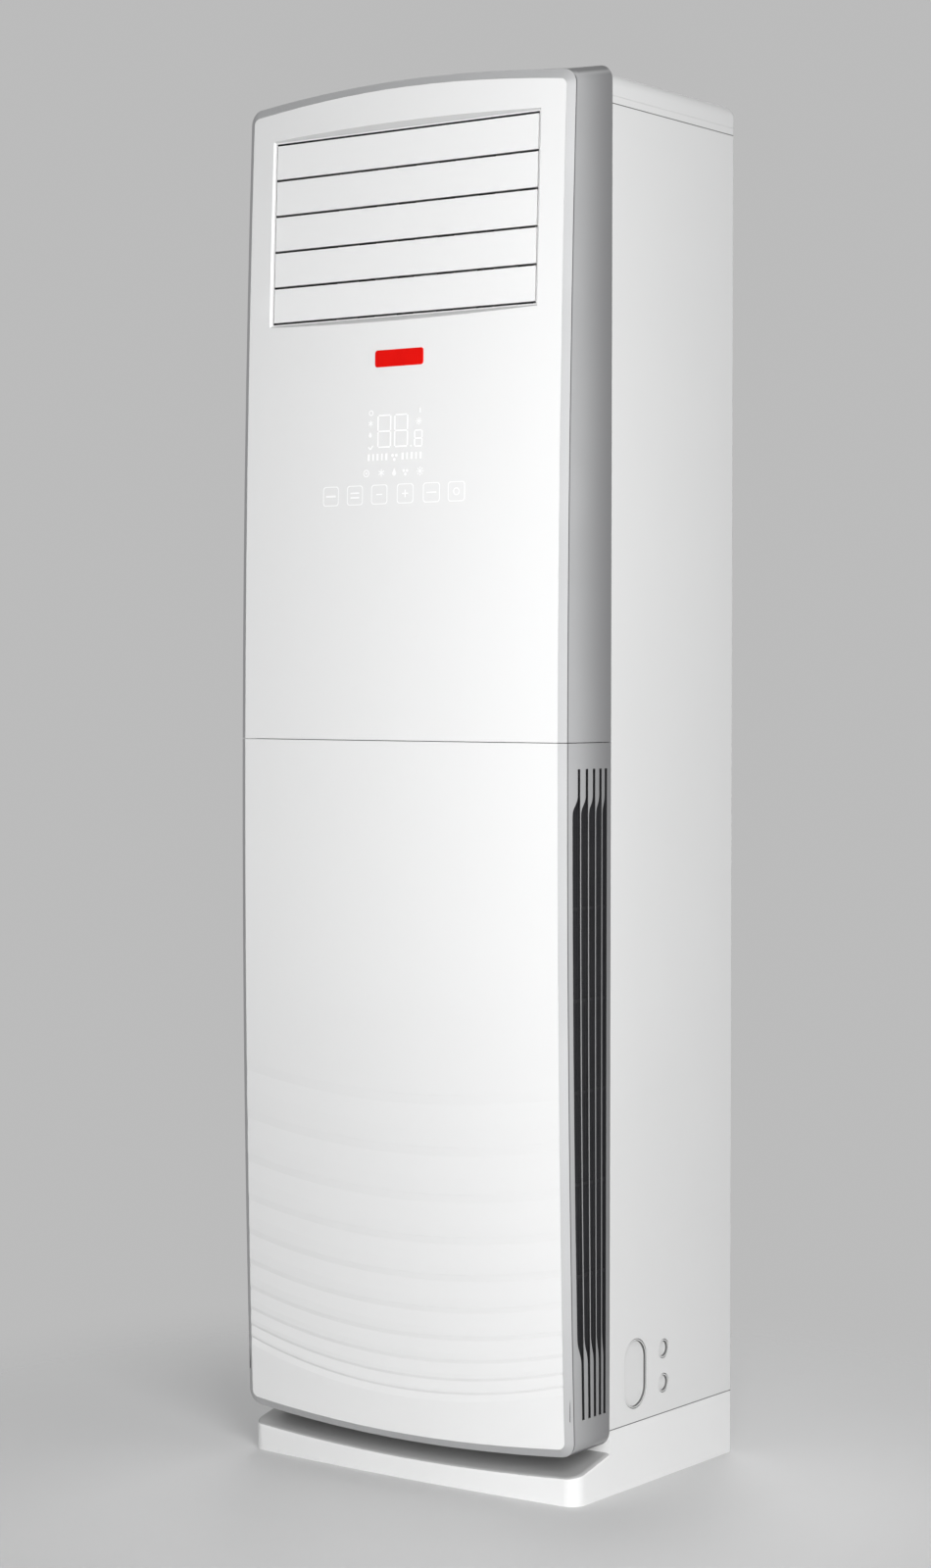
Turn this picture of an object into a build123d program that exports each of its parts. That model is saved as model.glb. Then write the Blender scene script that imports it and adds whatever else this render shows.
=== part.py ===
from build123d import *
from math import asin, cos, degrees, radians, sin, sqrt
import os

# Floor standing air conditioner: a tall cabinet with a bowed front in two halves.
# Millimetres, +Z up, -Y is the front, origin under the middle of the whole outline.

# ---------------------------------------------------------------- driving dimensions
CABINET_WIDTH = 540.0
CABINET_DEPTH = 302.0
CABINET_TOP = 1849.0
TOP_COVER_HEIGHT = 30.6
TOP_EDGE_RADIUS = 16.0
REAR_EDGE_RADIUS = 4.0
CAP_WALL = 3.0
PARTING_GAP = 0.4

# painted steel sheet
SHEET = 1.2
SIDE_FLANGE = 14.0
LAP = 10.0
LAP_GAP = 0.3

# frame behind the covers
FRAME_INSET = 15.0
UPRIGHT = 17.0
TOP_RAIL = 11.0
BOTTOM_RAIL = 17.0
CROSSBAR = 17.0
FRAME_WALL = 1.5

# base with its foot in front
BASE_HEIGHT = 84.9
BASE_WALL = 3.0
FOOT_REACH = 85.5
FOOT_BULGE = 9.1
FOOT_CORNER = 20.0
FOOT_EDGE_RADIUS = 5.0
SLOPE_TOP_SIDE = 56.2
SLOPE_TOP_MIDDLE = 54.0
SLOPE_RUN = 95.0
SLOPE_LOW_SIDE = 33.5
SLOPE_LOW_MIDDLE = 25.5
BASE_RIB = 2.5

# front covers: outline in front view, bow and bulge of the face
BAND_DEPTH = 101.0
RIM_DEPTH = 5.9
RIM_WIDTH = 10.5
PLAN_BULGE = 9.0
BOW_RADIUS = 21000.0
BOW_HEIGHT = 980.0
COVER_RISE = 12.0
COVER_REAR_ARCH = 2.0
COVER_FRONT_DROP = 8.8
COVER_FRONT_ARCH = 21.0
COVER_RUN = 120.0
COVER_REAR_BOTTOM = 56.0
COVER_REAR_BOTTOM_ARCH = 9.5
COVER_BOTTOM = 51.0
COVER_BOTTOM_ARCH = 14.5
COVER_CORNER = 20.0
COVER_GAP = 0.4
SEAM_HEIGHT = 978.7
SEAM_GAP = 1.0
TRIM_WALL = 2.2
TRIM_FRONT = 6.6
TRIM_REAR = 2.5
PANEL_WALL = 3.0
PANEL_FIT = 0.15
SEAT_INSET = 10.2
SEAT_OVERCUT = 1.0
PANEL_LEDGE = 6.0

# wave relief on the lower front panel
WAVE_COUNT = 10
WAVE_LOW = 124.0
WAVE_STEP = 15.5
WAVE_GROWTH = 3.1
WAVE_SAG = 35.0
WAVE_SAG_LOSS = 1.3
WAVE_DEPTH = 1.3
WAVE_DEPTH_LOSS = 0.07
WAVE_VALLEY = 0.22
WAVE_STEP_IN = 0.15
WAVE_REACH = 0.88

# air intake slots in the side bands of the lower cover
SLOT_BOTTOM = 110.0
SLOT_TOP_DROP = 33.7
SLOT_FRONT_MARGIN = 12.3
SLOT_REAR_MARGIN = 9.5
SLOT_BAR = 2.0
SLOT_BAR_PLACES = (0.246, 0.474, 0.68, 0.867)
SLOT_NARROW = 5.5
SLOT_NECK_TOP = 33.0
SLOT_FLARE_TOP_RUN = 27.0
SLOT_NECK_LOW = 68.0
SLOT_FLARE_LOW_RUN = 42.0
SLOT_WALL = 1.4

# air filters behind the slots
FILTER_THICKNESS = 3.6
FILTER_GAP = 0.3
FILTER_MARGIN = 5.0
THIN_MARGIN = 3.0
FILTER_RIB = 4.0
FILTER_RIB_LOW = 294.8
FILTER_RIB_PITCH = 117.8
FILTER_RIB_COUNT = 5
FILTER_NET = 0.6

# push-in catches of the lower cover
CATCH_RADIUS = 3.0
CATCH_LENGTH = 12.0
CATCH_INSET = 8.5
CATCH_FIT = 0.1
CATCH_LOW = 97.0
CATCH_SEAM_DROP = 18.7
CATCH_HEAD = 1.2
CATCH_HEAD_RIM = 1.5
CATCH_CLEARANCE = 0.4
SOCKET_WALL = 3.0
SOCKET_LENGTH = 10.0

# air outlet with its louvres
OUTLET_DROP = 183.0
OUTLET_MARGIN = 51.0
OUTLET_HALF_RISE = 124.0
OUTLET_RECESS = 3.0
OUTLET_LIP = 1.5
OUTLET_LIP_SLOPE = 0.8
OUTLET_LIP_REACH = 12.0
OUTLET_PAD = 14.0
OUTLET_PAD_BACK = 2.0
DUCT_WALL = 2.5
DUCT_STEP = 0.5
DUCT_FLANGE = 6.0
LOUVRE_COUNT = 5
LOUVRE_MARGIN = 1.25
LOUVRE_GAP = 3.1
LOUVRE_SIDE_GAP = 2.0
LOUVRE_PIVOT = 8.0
LOUVRE_SKIN = 2.4
LOUVRE_RETURN = 9.5
LOUVRE_EDGE_RADIUS = 1.2
LOUVRE_RIB_COUNT = 3
LOUVRE_RIB_INSET = 1.0
LOUVRE_OPEN = 85.0
PIN_RADIUS = 2.5
PIN_FIT = 0.08
PIN_END = 1.0
BUSH_WALL = 1.5
HUB_RADIUS = 5.0
CRANK_RADIUS = 12.0
CRANK_PIN = 2.0
CRANK_THICKNESS = 3.0
CRANK_HALF_WIDTH = 3.8
CRANK_GAP = 2.0
LINK_THICKNESS = 3.0
LINK_HALF_WIDTH = 3.2
LINK_GAP = 0.3
LINK_HOLE_FIT = 0.25
SHAFT_TAIL = 4.0

# upright guide vanes behind the louvres
VANE_COUNT = 6
VANE_MARGIN = 54.0
VANE_SETBACK = 53.0
VANE_HALF_DEPTH = 18.0
VANE_THICKNESS = 2.0
VANE_END_GAP = 1.0
VANE_PIN_RADIUS = 2.0
VANE_BOSS = 1.0

# small geared motors that drive louvres and vanes
STEPPER_RADIUS = 14.0
STEPPER_LENGTH = 18.0
STEPPER_OFFSET = 8.6
STEPPER_EAR = 17.5
STEPPER_EAR_RADIUS = 3.5
STEPPER_PLATE = 1.5
STEPPER_SLEEVE = 4.0
STEPPER_POST_RADIUS = 2.7
LOUVRE_EAR_TURN = 50.0

# display and touch boards behind the upper front panel
BOARD_THICKNESS = 1.6
DISPLAY_WIDTH = 150.0
DISPLAY_RISE = 110.0
DISPLAY_DROP = 294.0
DISPLAY_SETBACK = 9.0
TOUCH_WIDTH = 250.0
TOUCH_RISE = 30.0
TOUCH_DROP = 69.0
TOUCH_GAP = 0.6
DIGIT_WIDTH = 24.0
DIGIT_RISE = 46.0
DIGIT_GAP = 1.5
BOARD_POST_INSET = 8.0
BOARD_POST_RADIUS = 3.0
BOARD_POST_GAP = 1.0

# centrifugal fan and its scroll
FAN_X = 24.0
FAN_HEIGHT = 430.0
SCROLL_SIDE = 88.0
SCROLL_GROWTH = 24.0
SCROLL_WALL = 3.0
SCROLL_FRONT = 22.0
SCROLL_DEPTH = 150.0
PARTITION = 1.5
SHELF_RISE = 342.0
TONGUE_ANGLE = 60.0
TONGUE_RUN = 23.0
TONGUE_NOSE = 8.0
WHEEL_CLEARANCE = 22.0
BLADE_CHORD = 21.0
WHEEL_FRONT = 40.0
WHEEL_WIDTH = 110.0
WHEEL_PLATE = 2.0
WHEEL_DISH = 60.0
BLADE_COUNT = 36
BLADE_THICKNESS = 1.6
BLADE_RADIUS = 19.0
INLET_STEP = 5.0
INLET_CURVE = 25.0
INLET_WALL = 2.0
INLET_RIM = 42.0
SHAFT_RADIUS = 6.0
SHAFT_FIT = 0.05
HUB_LENGTH = 42.0
WHEEL_HUB_RADIUS = 20.0
NUT_WIDTH = 19.0
NUT_HEIGHT = 7.0
MOTOR_RADIUS = 60.0
MOTOR_LENGTH = 78.0
MOTOR_PLATE = 3.0
MOTOR_PLATE_RADIUS = 92.0
MOTOR_FOOT_WIDTH = 18.0
MOTOR_ARMS = 4
MOTOR_ARM_REACH = 24.0
MOTOR_EDGE = 10.0

# evaporator
COIL_REARWARD = 17.0
COIL_RISE = 508.0
COIL_CLEAR_DEPTH = 114.7
COIL_SIDE_MARGIN = 70.0
COIL_LENGTH = 500.0
COIL_THICKNESS = 44.0
COIL_GROOVE = 8.0
COIL_GROOVE_DEPTH = 18.0
COIL_GROOVE_PITCH = 12.5
COIL_PLATE = 1.5
COIL_PLATE_MARGIN = 3.0
BEND_RADIUS = 11.0
TUBE_RADIUS = 4.8
BEND_COUNT = 8
BEND_PITCH = 56.0
PAN_FRONT = 38.0
PAN_DEPTH = 104.0
PAN_RISE = 34.0
PAN_WALL = 2.0
GUIDE_RETURN = 16.0

# pipes inside the right rear corner
GAS_RADIUS = 7.9
LIQUID_RADIUS = 4.8
HOSE_RADIUS = 8.0
PIPE_END = 215.0
PIPE_BEND = 24.0
PIPE_WALL = 0.9
PIPE_SIDE_GAP = 7.0
GAS_INSET = 22.8
GAS_HOSE_PITCH = 23.9
LIQUID_PITCH = 18.5
HOSE_WALL = 1.5
HOSE_BEND = 12.0
NUT_LENGTH = 24.0
NUT_WALL = 4.0

# side outlets for the pipes, closed with plugs
OBLONG_SETBACK = 61.0
OBLONG_HEIGHT = 148.7
OBLONG_WIDTH = 56.0
OBLONG_RISE = 92.0
ROUND_SETBACK = 129.0
ROUND_HEIGHTS = (124.9, 170.4)
ROUND_RADIUS = 13.0
PLUG_FIT = 0.3
PLUG_RECESS = 0.6
PLUG_WALL = 1.5
PLUG_RIM = 3.0

# electrics on the fan partition
BOX_LEFT_INSET = 90.0
BOX_RIGHT_INSET = 150.0
BOX_FAN_GAP = 26.0
BOX_SHELF_GAP = 8.0
BOX_DEPTH = 70.0
TERMINAL_WIDTH = 62.0
TERMINAL_RISE = 26.0
TERMINAL_DEPTH = 22.0
TERMINAL_COUNT = 5
TERMINAL_INSET = 85.0
TERMINAL_RIB = 3.0
TERMINAL_EDGE = 4.0
BOARD_STANDOFF = 6.0
BOARD_PARTS = 18.0

# fasteners
SCREW_RADIUS = 1.9
SCREW_HEAD = 3.5
SCREW_LENGTH = 8.0
SCREW_LOW = 130.0
SCREW_TOP_DROP = 38.4
SCREW_COUNT = 6
BRACKET_HOLE = 2.6
BRACKET_SPACING = 200.0
BRACKET_DROP = 79.0
BEAD_COUNT = 4
BEAD_TOP_DROP = 349.0
BEAD_LOW = 420.0
BEAD_DEPTH = 2.5
BEAD_WIDTH = 26.0
BEAD_SIDE_MARGIN = 80.0

# ---------------------------------------------------------------- derived places
COVER_DEPTH = BAND_DEPTH + RIM_DEPTH + PLAN_BULGE
REAR_Y = (CABINET_DEPTH + COVER_DEPTH) / 2
FRAME_Y = REAR_Y - CABINET_DEPTH
FRONT_Y = FRAME_Y - COVER_DEPTH
HALF = CABINET_WIDTH / 2
TOP_SEAM = CABINET_TOP - TOP_COVER_HEIGHT
PLAN_RADIUS = (HALF**2 + PLAN_BULGE**2) / (2 * PLAN_BULGE)
BOW_Y = FRONT_Y + BOW_RADIUS
INNER_HALF = HALF - SHEET
SEAT_HALF = INNER_HALF - LAP_GAP
PARTITION_Y = FRAME_Y + SCROLL_FRONT
SCROLL_BACK_Y = PARTITION_Y + SCROLL_DEPTH
FRAME_HALF = HALF - FRAME_INSET
COVER_TOP = CABINET_TOP + COVER_RISE
COVER_FRONT_TOP = COVER_TOP - COVER_FRONT_DROP
SLOT_TOP = SEAM_HEIGHT - SLOT_TOP_DROP
SLOT_FLARE_TOP = SLOT_TOP - SLOT_NECK_TOP
SLOT_FLARE_LOW = SLOT_BOTTOM + SLOT_NECK_LOW
CATCH_HEIGHTS = (CATCH_LOW, SEAM_HEIGHT - CATCH_SEAM_DROP)
OUTLET_HEIGHT = CABINET_TOP - OUTLET_DROP
OUTLET_HALF_WIDTH = HALF - OUTLET_MARGIN
LOUVRE_PITCH = 2 * (OUTLET_HALF_RISE - LOUVRE_MARGIN) / LOUVRE_COUNT
LOUVRE_HALF_HEIGHT = (LOUVRE_PITCH - LOUVRE_GAP) / 2
VANE_PITCH = 2 * (OUTLET_HALF_WIDTH - VANE_MARGIN) / (VANE_COUNT - 1)
DISPLAY_HEIGHT = OUTLET_HEIGHT - DISPLAY_DROP
TOUCH_HEIGHT = DISPLAY_HEIGHT - TOUCH_DROP
SCROLL_RADIUS = HALF - SCROLL_SIDE
WHEEL_RADIUS = SCROLL_RADIUS - WHEEL_CLEARANCE
WHEEL_EYE = WHEEL_RADIUS - BLADE_CHORD
INLET_THROAT = WHEEL_EYE - INLET_STEP
INLET_FLANGE = INLET_THROAT + INLET_RIM
SHELF_HEIGHT = FAN_HEIGHT + SHELF_RISE
COIL_HEIGHT = SHELF_HEIGHT + COIL_RISE
COIL_SETBACK = CABINET_DEPTH / 2 + COIL_REARWARD
COIL_SLANT = degrees(asin((CABINET_DEPTH - COIL_CLEAR_DEPTH) / COIL_LENGTH))
COIL_WIDTH = CABINET_WIDTH - 2 * COIL_SIDE_MARGIN
GAS_X = INNER_HALF - GAS_INSET
BOX_LEFT = BOX_LEFT_INSET - HALF
BOX_RIGHT = HALF - BOX_RIGHT_INSET
BOX_BOTTOM = FAN_HEIGHT + INLET_FLANGE + BOX_FAN_GAP
BOX_TOP = SHELF_HEIGHT - BOX_SHELF_GAP
TERMINAL_X = HALF - TERMINAL_INSET
SCREW_PITCH = (TOP_SEAM - SCREW_TOP_DROP - SCREW_LOW) / (SCREW_COUNT - 1)
BRACKET_HEIGHT = CABINET_TOP - BRACKET_DROP
BEAD_PITCH = (CABINET_TOP - BEAD_TOP_DROP - BEAD_LOW) / (BEAD_COUNT - 1)
BEAD_LENGTH = CABINET_WIDTH - 2 * BEAD_SIDE_MARGIN

os.makedirs("parts", exist_ok=True)


def at_y(y):
    """Upright plane facing the front, at the given y."""
    return Plane.XZ.offset(-y)


def at_x(x):
    """Upright plane facing right, at the given x: its axes are Y and Z."""
    return Plane.YZ.offset(x)


def face_y(x, z):
    """Y of the covers' front face at a place in front view."""
    plan = FRONT_Y + PLAN_RADIUS - sqrt(PLAN_RADIUS**2 - x**2)
    reach = BOW_Y - plan
    return BOW_Y - sqrt(reach**2 - (z - BOW_HEIGHT) ** 2)


def finish(piece, name):
    """Label a piece and write it."""
    piece.label = name
    export_step(piece, f"parts/{name}.step")


# ---------------------------------------------------------------- front covers
def cover_outline(depth, inset):
    """Front view outline of the covers at a depth in front of the cabinet."""
    share = depth / COVER_RUN
    half = HALF - inset
    top = COVER_TOP + (COVER_FRONT_TOP - COVER_TOP) * share - inset
    arch = COVER_REAR_ARCH + (COVER_FRONT_ARCH - COVER_REAR_ARCH) * share
    low = COVER_REAR_BOTTOM + (COVER_BOTTOM - COVER_REAR_BOTTOM) * share + inset
    sag = COVER_REAR_BOTTOM_ARCH + (COVER_BOTTOM_ARCH - COVER_REAR_BOTTOM_ARCH) * share
    with BuildSketch() as outline:
        with BuildLine():
            ThreePointArc((-half, top - arch), (0, top), (half, top - arch))
            Line((half, top - arch), (half, low + sag))
            ThreePointArc((half, low + sag), (0, low), (-half, low + sag))
            Line((-half, low + sag), (-half, top - arch))
        make_face()
        fillet(outline.vertices(), max(COVER_CORNER - inset, 1.0))
    return outline.sketch


def cover_block(inset, setback, start=COVER_GAP):
    """Closed block behind the bowed face: inset all round, set back from the face."""
    tilt = degrees(asin((COVER_TOP - COVER_BOTTOM) / BOW_RADIUS))
    plan_y = setback - BOW_RADIUS
    sag = PLAN_RADIUS - sqrt(PLAN_RADIUS**2 - CABINET_WIDTH**2)
    hinge = Plane((0, BOW_Y, BOW_HEIGHT), (1, 0, 0), (0, sin(radians(tilt)), cos(radians(tilt))))
    with BuildPart() as block:
        with BuildSketch(at_y(FRAME_Y - start)):
            add(cover_outline(start, inset))
        with BuildSketch(at_y(FRAME_Y - COVER_RUN)):
            add(cover_outline(COVER_RUN, inset))
        loft(ruled=True)
        with BuildSketch(hinge):
            with BuildLine():
                ThreePointArc(
                    (-CABINET_WIDTH, plan_y + sag), (0, plan_y), (CABINET_WIDTH, plan_y + sag)
                )
                Polyline(
                    (CABINET_WIDTH, plan_y + sag),
                    (CABINET_WIDTH, plan_y + CABINET_WIDTH),
                    (-CABINET_WIDTH, plan_y + CABINET_WIDTH),
                    (-CABINET_WIDTH, plan_y + sag),
                )
            make_face()
        bow_axis = Axis((0, BOW_Y, BOW_HEIGHT), (1, 0, 0))
        revolve(axis=bow_axis, revolution_arc=2 * tilt, mode=Mode.INTERSECT)
    return block.part


def cover_half(block, upper, lip=0.0):
    """The part of a cover block above or below the seam, short of it by the lip."""
    sign = 1 if upper else -1
    cut = Plane.XY.offset(SEAM_HEIGHT + sign * (SEAM_GAP / 2 + lip))
    with BuildPart() as half:
        add(block)
        split(bisect_by=cut, keep=Keep.TOP if upper else Keep.BOTTOM)
    return half.part


def slot_edge(z, share):
    """Y of a line in the side band, at a share of the way from the bowed edge to the rear."""
    front = face_y(HALF, z) + RIM_DEPTH + SLOT_FRONT_MARGIN
    rear = FRAME_Y - SLOT_REAR_MARGIN
    return front + (rear - front) * share


def band_arc(z_from, z_to, share, shift):
    """Line up or down the side band that follows its share of the front edge's bow."""
    middle = (z_from + z_to) / 2
    start = (slot_edge(z_from, share) + shift, z_from)
    end = (slot_edge(z_to, share) + shift, z_to)
    if share == 1.0:
        return Line(start, end)
    return ThreePointArc(start, (slot_edge(middle, share) + shift, middle), end)


def flare(z_from, z_to, share_from, shift_from, share_to, shift_to):
    """Ogee between a wide and a narrow stretch of a slot's front edge."""
    start = slot_edge(z_from, share_from) + shift_from
    end = slot_edge(z_to, share_to) + shift_to
    middle = (z_from + z_to) / 2
    return Bezier((start, z_from), (start, middle), (end, middle), (end, z_to))


def intake_slot(front_share, rear_share, rear_shift):
    """One intake slot: wide in the middle, flared down to a narrow slit at each end."""
    narrow = rear_shift - SLOT_NARROW
    flare_top = SLOT_FLARE_TOP - SLOT_FLARE_TOP_RUN
    flare_low = SLOT_FLARE_LOW + SLOT_FLARE_LOW_RUN
    with BuildSketch() as slot:
        with BuildLine():
            band_arc(SLOT_BOTTOM, SLOT_TOP, rear_share, rear_shift)
            Line(
                (slot_edge(SLOT_TOP, rear_share) + rear_shift, SLOT_TOP),
                (slot_edge(SLOT_TOP, rear_share) + narrow, SLOT_TOP),
            )
            band_arc(SLOT_TOP, SLOT_FLARE_TOP, rear_share, narrow)
            flare(SLOT_FLARE_TOP, flare_top, rear_share, narrow, front_share, 0.0)
            band_arc(flare_top, flare_low, front_share, 0.0)
            flare(flare_low, SLOT_FLARE_LOW, front_share, 0.0, rear_share, narrow)
            band_arc(SLOT_FLARE_LOW, SLOT_BOTTOM, rear_share, narrow)
            Line(
                (slot_edge(SLOT_BOTTOM, rear_share) + narrow, SLOT_BOTTOM),
                (slot_edge(SLOT_BOTTOM, rear_share) + rear_shift, SLOT_BOTTOM),
            )
        make_face()
    return slot.sketch


def intake_slots():
    """All the slots of one side band, between its bars."""
    edges = (0.0, *SLOT_BAR_PLACES, 1.0)
    with BuildSketch() as slots:
        for front_share, rear_share in zip(edges[:-1], edges[1:]):
            rear_shift = -SLOT_BAR if rear_share < 1.0 else 0.0
            add(intake_slot(front_share, rear_share, rear_shift))
    return slots.sketch


def intake_field(margin):
    """Outline of the whole slotted field in the side band, with a margin round it."""
    with BuildSketch() as field:
        with BuildLine():
            band_arc(SLOT_BOTTOM - margin, SLOT_TOP + margin, 0.0, -margin)
            Line(
                (slot_edge(SLOT_TOP + margin, 0.0) - margin, SLOT_TOP + margin),
                (slot_edge(SLOT_TOP, 1.0) + margin, SLOT_TOP + margin),
            )
            Line(
                (slot_edge(SLOT_TOP, 1.0) + margin, SLOT_TOP + margin),
                (slot_edge(SLOT_TOP, 1.0) + margin, SLOT_BOTTOM - margin),
            )
            Line(
                (slot_edge(SLOT_TOP, 1.0) + margin, SLOT_BOTTOM - margin),
                (slot_edge(SLOT_BOTTOM - margin, 0.0) - margin, SLOT_BOTTOM - margin),
            )
        make_face()
    return field.sketch


def build_trim_frame(upper, outer, inside, opening, seat):
    """Silver frame of one cover: bevelled rim, side bands, rear flange and seam wall."""
    with BuildPart() as trim:
        add(cover_half(outer, upper))
        add(cover_half(seat, upper, -SEAT_OVERCUT), mode=Mode.SUBTRACT)
        add(cover_half(inside, upper, TRIM_WALL), mode=Mode.SUBTRACT)
        add(cover_half(opening, upper, TRIM_WALL), mode=Mode.SUBTRACT)
    return trim.part


with BuildPart() as cover_outer:
    add(cover_block(0.0, 0.0))
    rim_face = cover_outer.faces().sort_by(Axis.Y)[0]
    chamfer(rim_face.edges(), length=RIM_WIDTH, length2=RIM_DEPTH, reference=rim_face)

cover_inside = cover_block(TRIM_WALL, TRIM_FRONT, COVER_GAP + TRIM_REAR)
cover_opening = cover_block(SEAT_INSET + PANEL_LEDGE, -SEAT_OVERCUT)

with BuildPart() as panel_seat:
    add(cover_block(SEAT_INSET, -SEAT_OVERCUT))
    add(cover_block(SEAT_INSET, PANEL_WALL + PANEL_FIT), mode=Mode.SUBTRACT)

with BuildPart() as panel_skin:
    add(cover_block(SEAT_INSET + PANEL_FIT, 0.0))
    add(cover_block(SEAT_INSET + PANEL_FIT, PANEL_WALL), mode=Mode.SUBTRACT)

with BuildPart() as upper_trim_frame:
    add(build_trim_frame(True, cover_outer.part, cover_inside, cover_opening, panel_seat.part))
finish(upper_trim_frame.part, "upper_trim_frame")

with BuildPart() as lower_trim_frame:
    add(build_trim_frame(False, cover_outer.part, cover_inside, cover_opening, panel_seat.part))
    for side in (-1, 1):
        thin = side * SLOT_WALL
        inner = side * HALF - thin
        with BuildSketch(at_x(inner)):
            add(intake_field(THIN_MARGIN))
        extrude(amount=-thin, mode=Mode.SUBTRACT)
        with BuildSketch(at_x(inner - thin)):
            add(intake_slots())
        extrude(amount=3 * thin, mode=Mode.SUBTRACT)
    with BuildSketch(at_y(FRAME_Y)):
        with GridLocations(2 * (HALF - CATCH_INSET), 0, 2, 1):
            with Locations(*[(0, z) for z in CATCH_HEIGHTS]):
                Circle(CATCH_RADIUS + PIN_FIT)
    extrude(amount=2 * TRIM_REAR, mode=Mode.SUBTRACT)
finish(lower_trim_frame.part, "lower_trim_frame")


def wave_cut(low, sag, depth, width):
    """Shallow wedge below one wave line, swung about the axis of the line's arc."""
    half = HALF - RIM_WIDTH
    mid_y = face_y(0, low)
    end_y = face_y(half, low + sag)
    rise = sqrt((end_y - mid_y) ** 2 + sag**2)
    radius = (half**2 + rise**2) / (2 * rise)
    across, up = (end_y - mid_y) / rise, sag / rise
    centre = (0, mid_y + across * radius, low + up * radius)
    swing = degrees(asin((half + RIM_WIDTH) / radius))
    valley = low - WAVE_VALLEY * width
    foot = low - width
    run_out = (valley - foot) / 2
    outside = mid_y - 2 * depth
    with BuildPart() as cut:
        with BuildSketch(Plane.YZ):
            with BuildLine():
                Polyline(
                    (outside, low),
                    (mid_y + WAVE_STEP_IN, low),
                    (face_y(0, valley) + depth, valley),
                    (face_y(0, foot) - depth / 2, foot - run_out),
                    (outside, foot - run_out),
                    close=True,
                )
            make_face()
        axis = Axis(centre, (0, up, -across))
        revolve(axis=axis, revolution_arc=2 * swing)
    return cut.part.rotate(axis, -swing)


with BuildPart() as lower_front_panel:
    add(cover_half(panel_skin.part, False))
    for wave in range(WAVE_COUNT):
        line = WAVE_LOW + WAVE_STEP * wave + WAVE_GROWTH * wave**2
        span = WAVE_STEP + WAVE_GROWTH * (2 * wave - 1) if wave else WAVE_STEP
        sag_here = WAVE_SAG - WAVE_SAG_LOSS * wave
        depth_here = WAVE_DEPTH - WAVE_DEPTH_LOSS * wave
        add(wave_cut(line, sag_here, depth_here, span * WAVE_REACH), mode=Mode.SUBTRACT)
finish(lower_front_panel.part, "lower_front_panel")

# ---------------------------------------------------------------- outlet frame of reference
LEAN = degrees(asin((OUTLET_HEIGHT - BOW_HEIGHT) / BOW_RADIUS))
OUTLET_Y = face_y(OUTLET_HALF_WIDTH, OUTLET_HEIGHT) + OUTLET_RECESS
UP = Vector(0, sin(radians(LEAN)), cos(radians(LEAN)))
OUT = Vector(0, -cos(radians(LEAN)), sin(radians(LEAN)))
OUTLET_CENTRE = Vector(0, OUTLET_Y, OUTLET_HEIGHT)


def outlet_point(u, v, n):
    """Point in the louvres' plane: across, up the lean, and out of the face."""
    return OUTLET_CENTRE + Vector(u, 0, 0) + UP * v + OUT * n


def outlet_face(n):
    """Plane parallel to the louvres, n out of their face."""
    return Plane(outlet_point(0, 0, n), (1, 0, 0), OUT)


def outlet_side(u):
    """Plane across the louvres at u: its axes are inward depth and up the lean."""
    return Plane(outlet_point(u, 0, 0), -OUT, Vector(1, 0, 0))


def outlet_level(v):
    """Plane level with the louvres' long edges at v: its axes are across and inward depth."""
    return Plane(outlet_point(0, v, 0), (1, 0, 0), UP)


with BuildPart() as upper_front_panel:
    add(cover_half(panel_skin.part, True))
    with BuildPart(mode=Mode.PRIVATE) as outlet_ring:
        with BuildSketch(outlet_face(-OUTLET_PAD_BACK)):
            Rectangle(
                2 * (OUTLET_HALF_WIDTH + OUTLET_PAD), 2 * (OUTLET_HALF_RISE + OUTLET_PAD)
            )
        extrude(amount=OUTLET_LIP_REACH + OUTLET_PAD_BACK)
        add(cover_block(SEAT_INSET + PANEL_FIT, 0.0), mode=Mode.INTERSECT)
    add(outlet_ring.part)
    with BuildSketch(outlet_face(-OUTLET_PAD_BACK - 1)):
        Rectangle(2 * OUTLET_HALF_WIDTH, 2 * OUTLET_HALF_RISE)
    extrude(amount=OUTLET_LIP_REACH + OUTLET_PAD, mode=Mode.SUBTRACT)
    lip_grow = OUTLET_LIP + OUTLET_LIP_SLOPE * OUTLET_LIP_REACH
    with BuildSketch(outlet_face(0)):
        Rectangle(
            2 * (OUTLET_HALF_WIDTH + OUTLET_LIP), 2 * (OUTLET_HALF_RISE + OUTLET_LIP)
        )
    with BuildSketch(outlet_face(OUTLET_LIP_REACH)):
        Rectangle(2 * (OUTLET_HALF_WIDTH + lip_grow), 2 * (OUTLET_HALF_RISE + lip_grow))
    loft(ruled=True, mode=Mode.SUBTRACT)
finish(upper_front_panel.part, "upper_front_panel")


# ---------------------------------------------------------------- louvres
def louvre_v(index):
    """Height up the lean of a louvre's pivot, the first on top."""
    return ((LOUVRE_COUNT - 1) / 2 - index) * LOUVRE_PITCH


CRANK_START = radians(LOUVRE_OPEN / 2)
CRANK_N = -LOUVRE_PIVOT - CRANK_RADIUS * cos(CRANK_START)
CRANK_V = CRANK_RADIUS * sin(CRANK_START)
SLAT_HALF = OUTLET_HALF_WIDTH - LOUVRE_SIDE_GAP
WALL_IN = OUTLET_HALF_WIDTH + DUCT_STEP
WALL_OUT = WALL_IN + DUCT_WALL
CRANK_U = WALL_OUT + CRANK_GAP
LINK_U = CRANK_U + CRANK_THICKNESS + LINK_GAP
SHAFT_END_U = LINK_U + LINK_THICKNESS + SHAFT_TAIL


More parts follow.
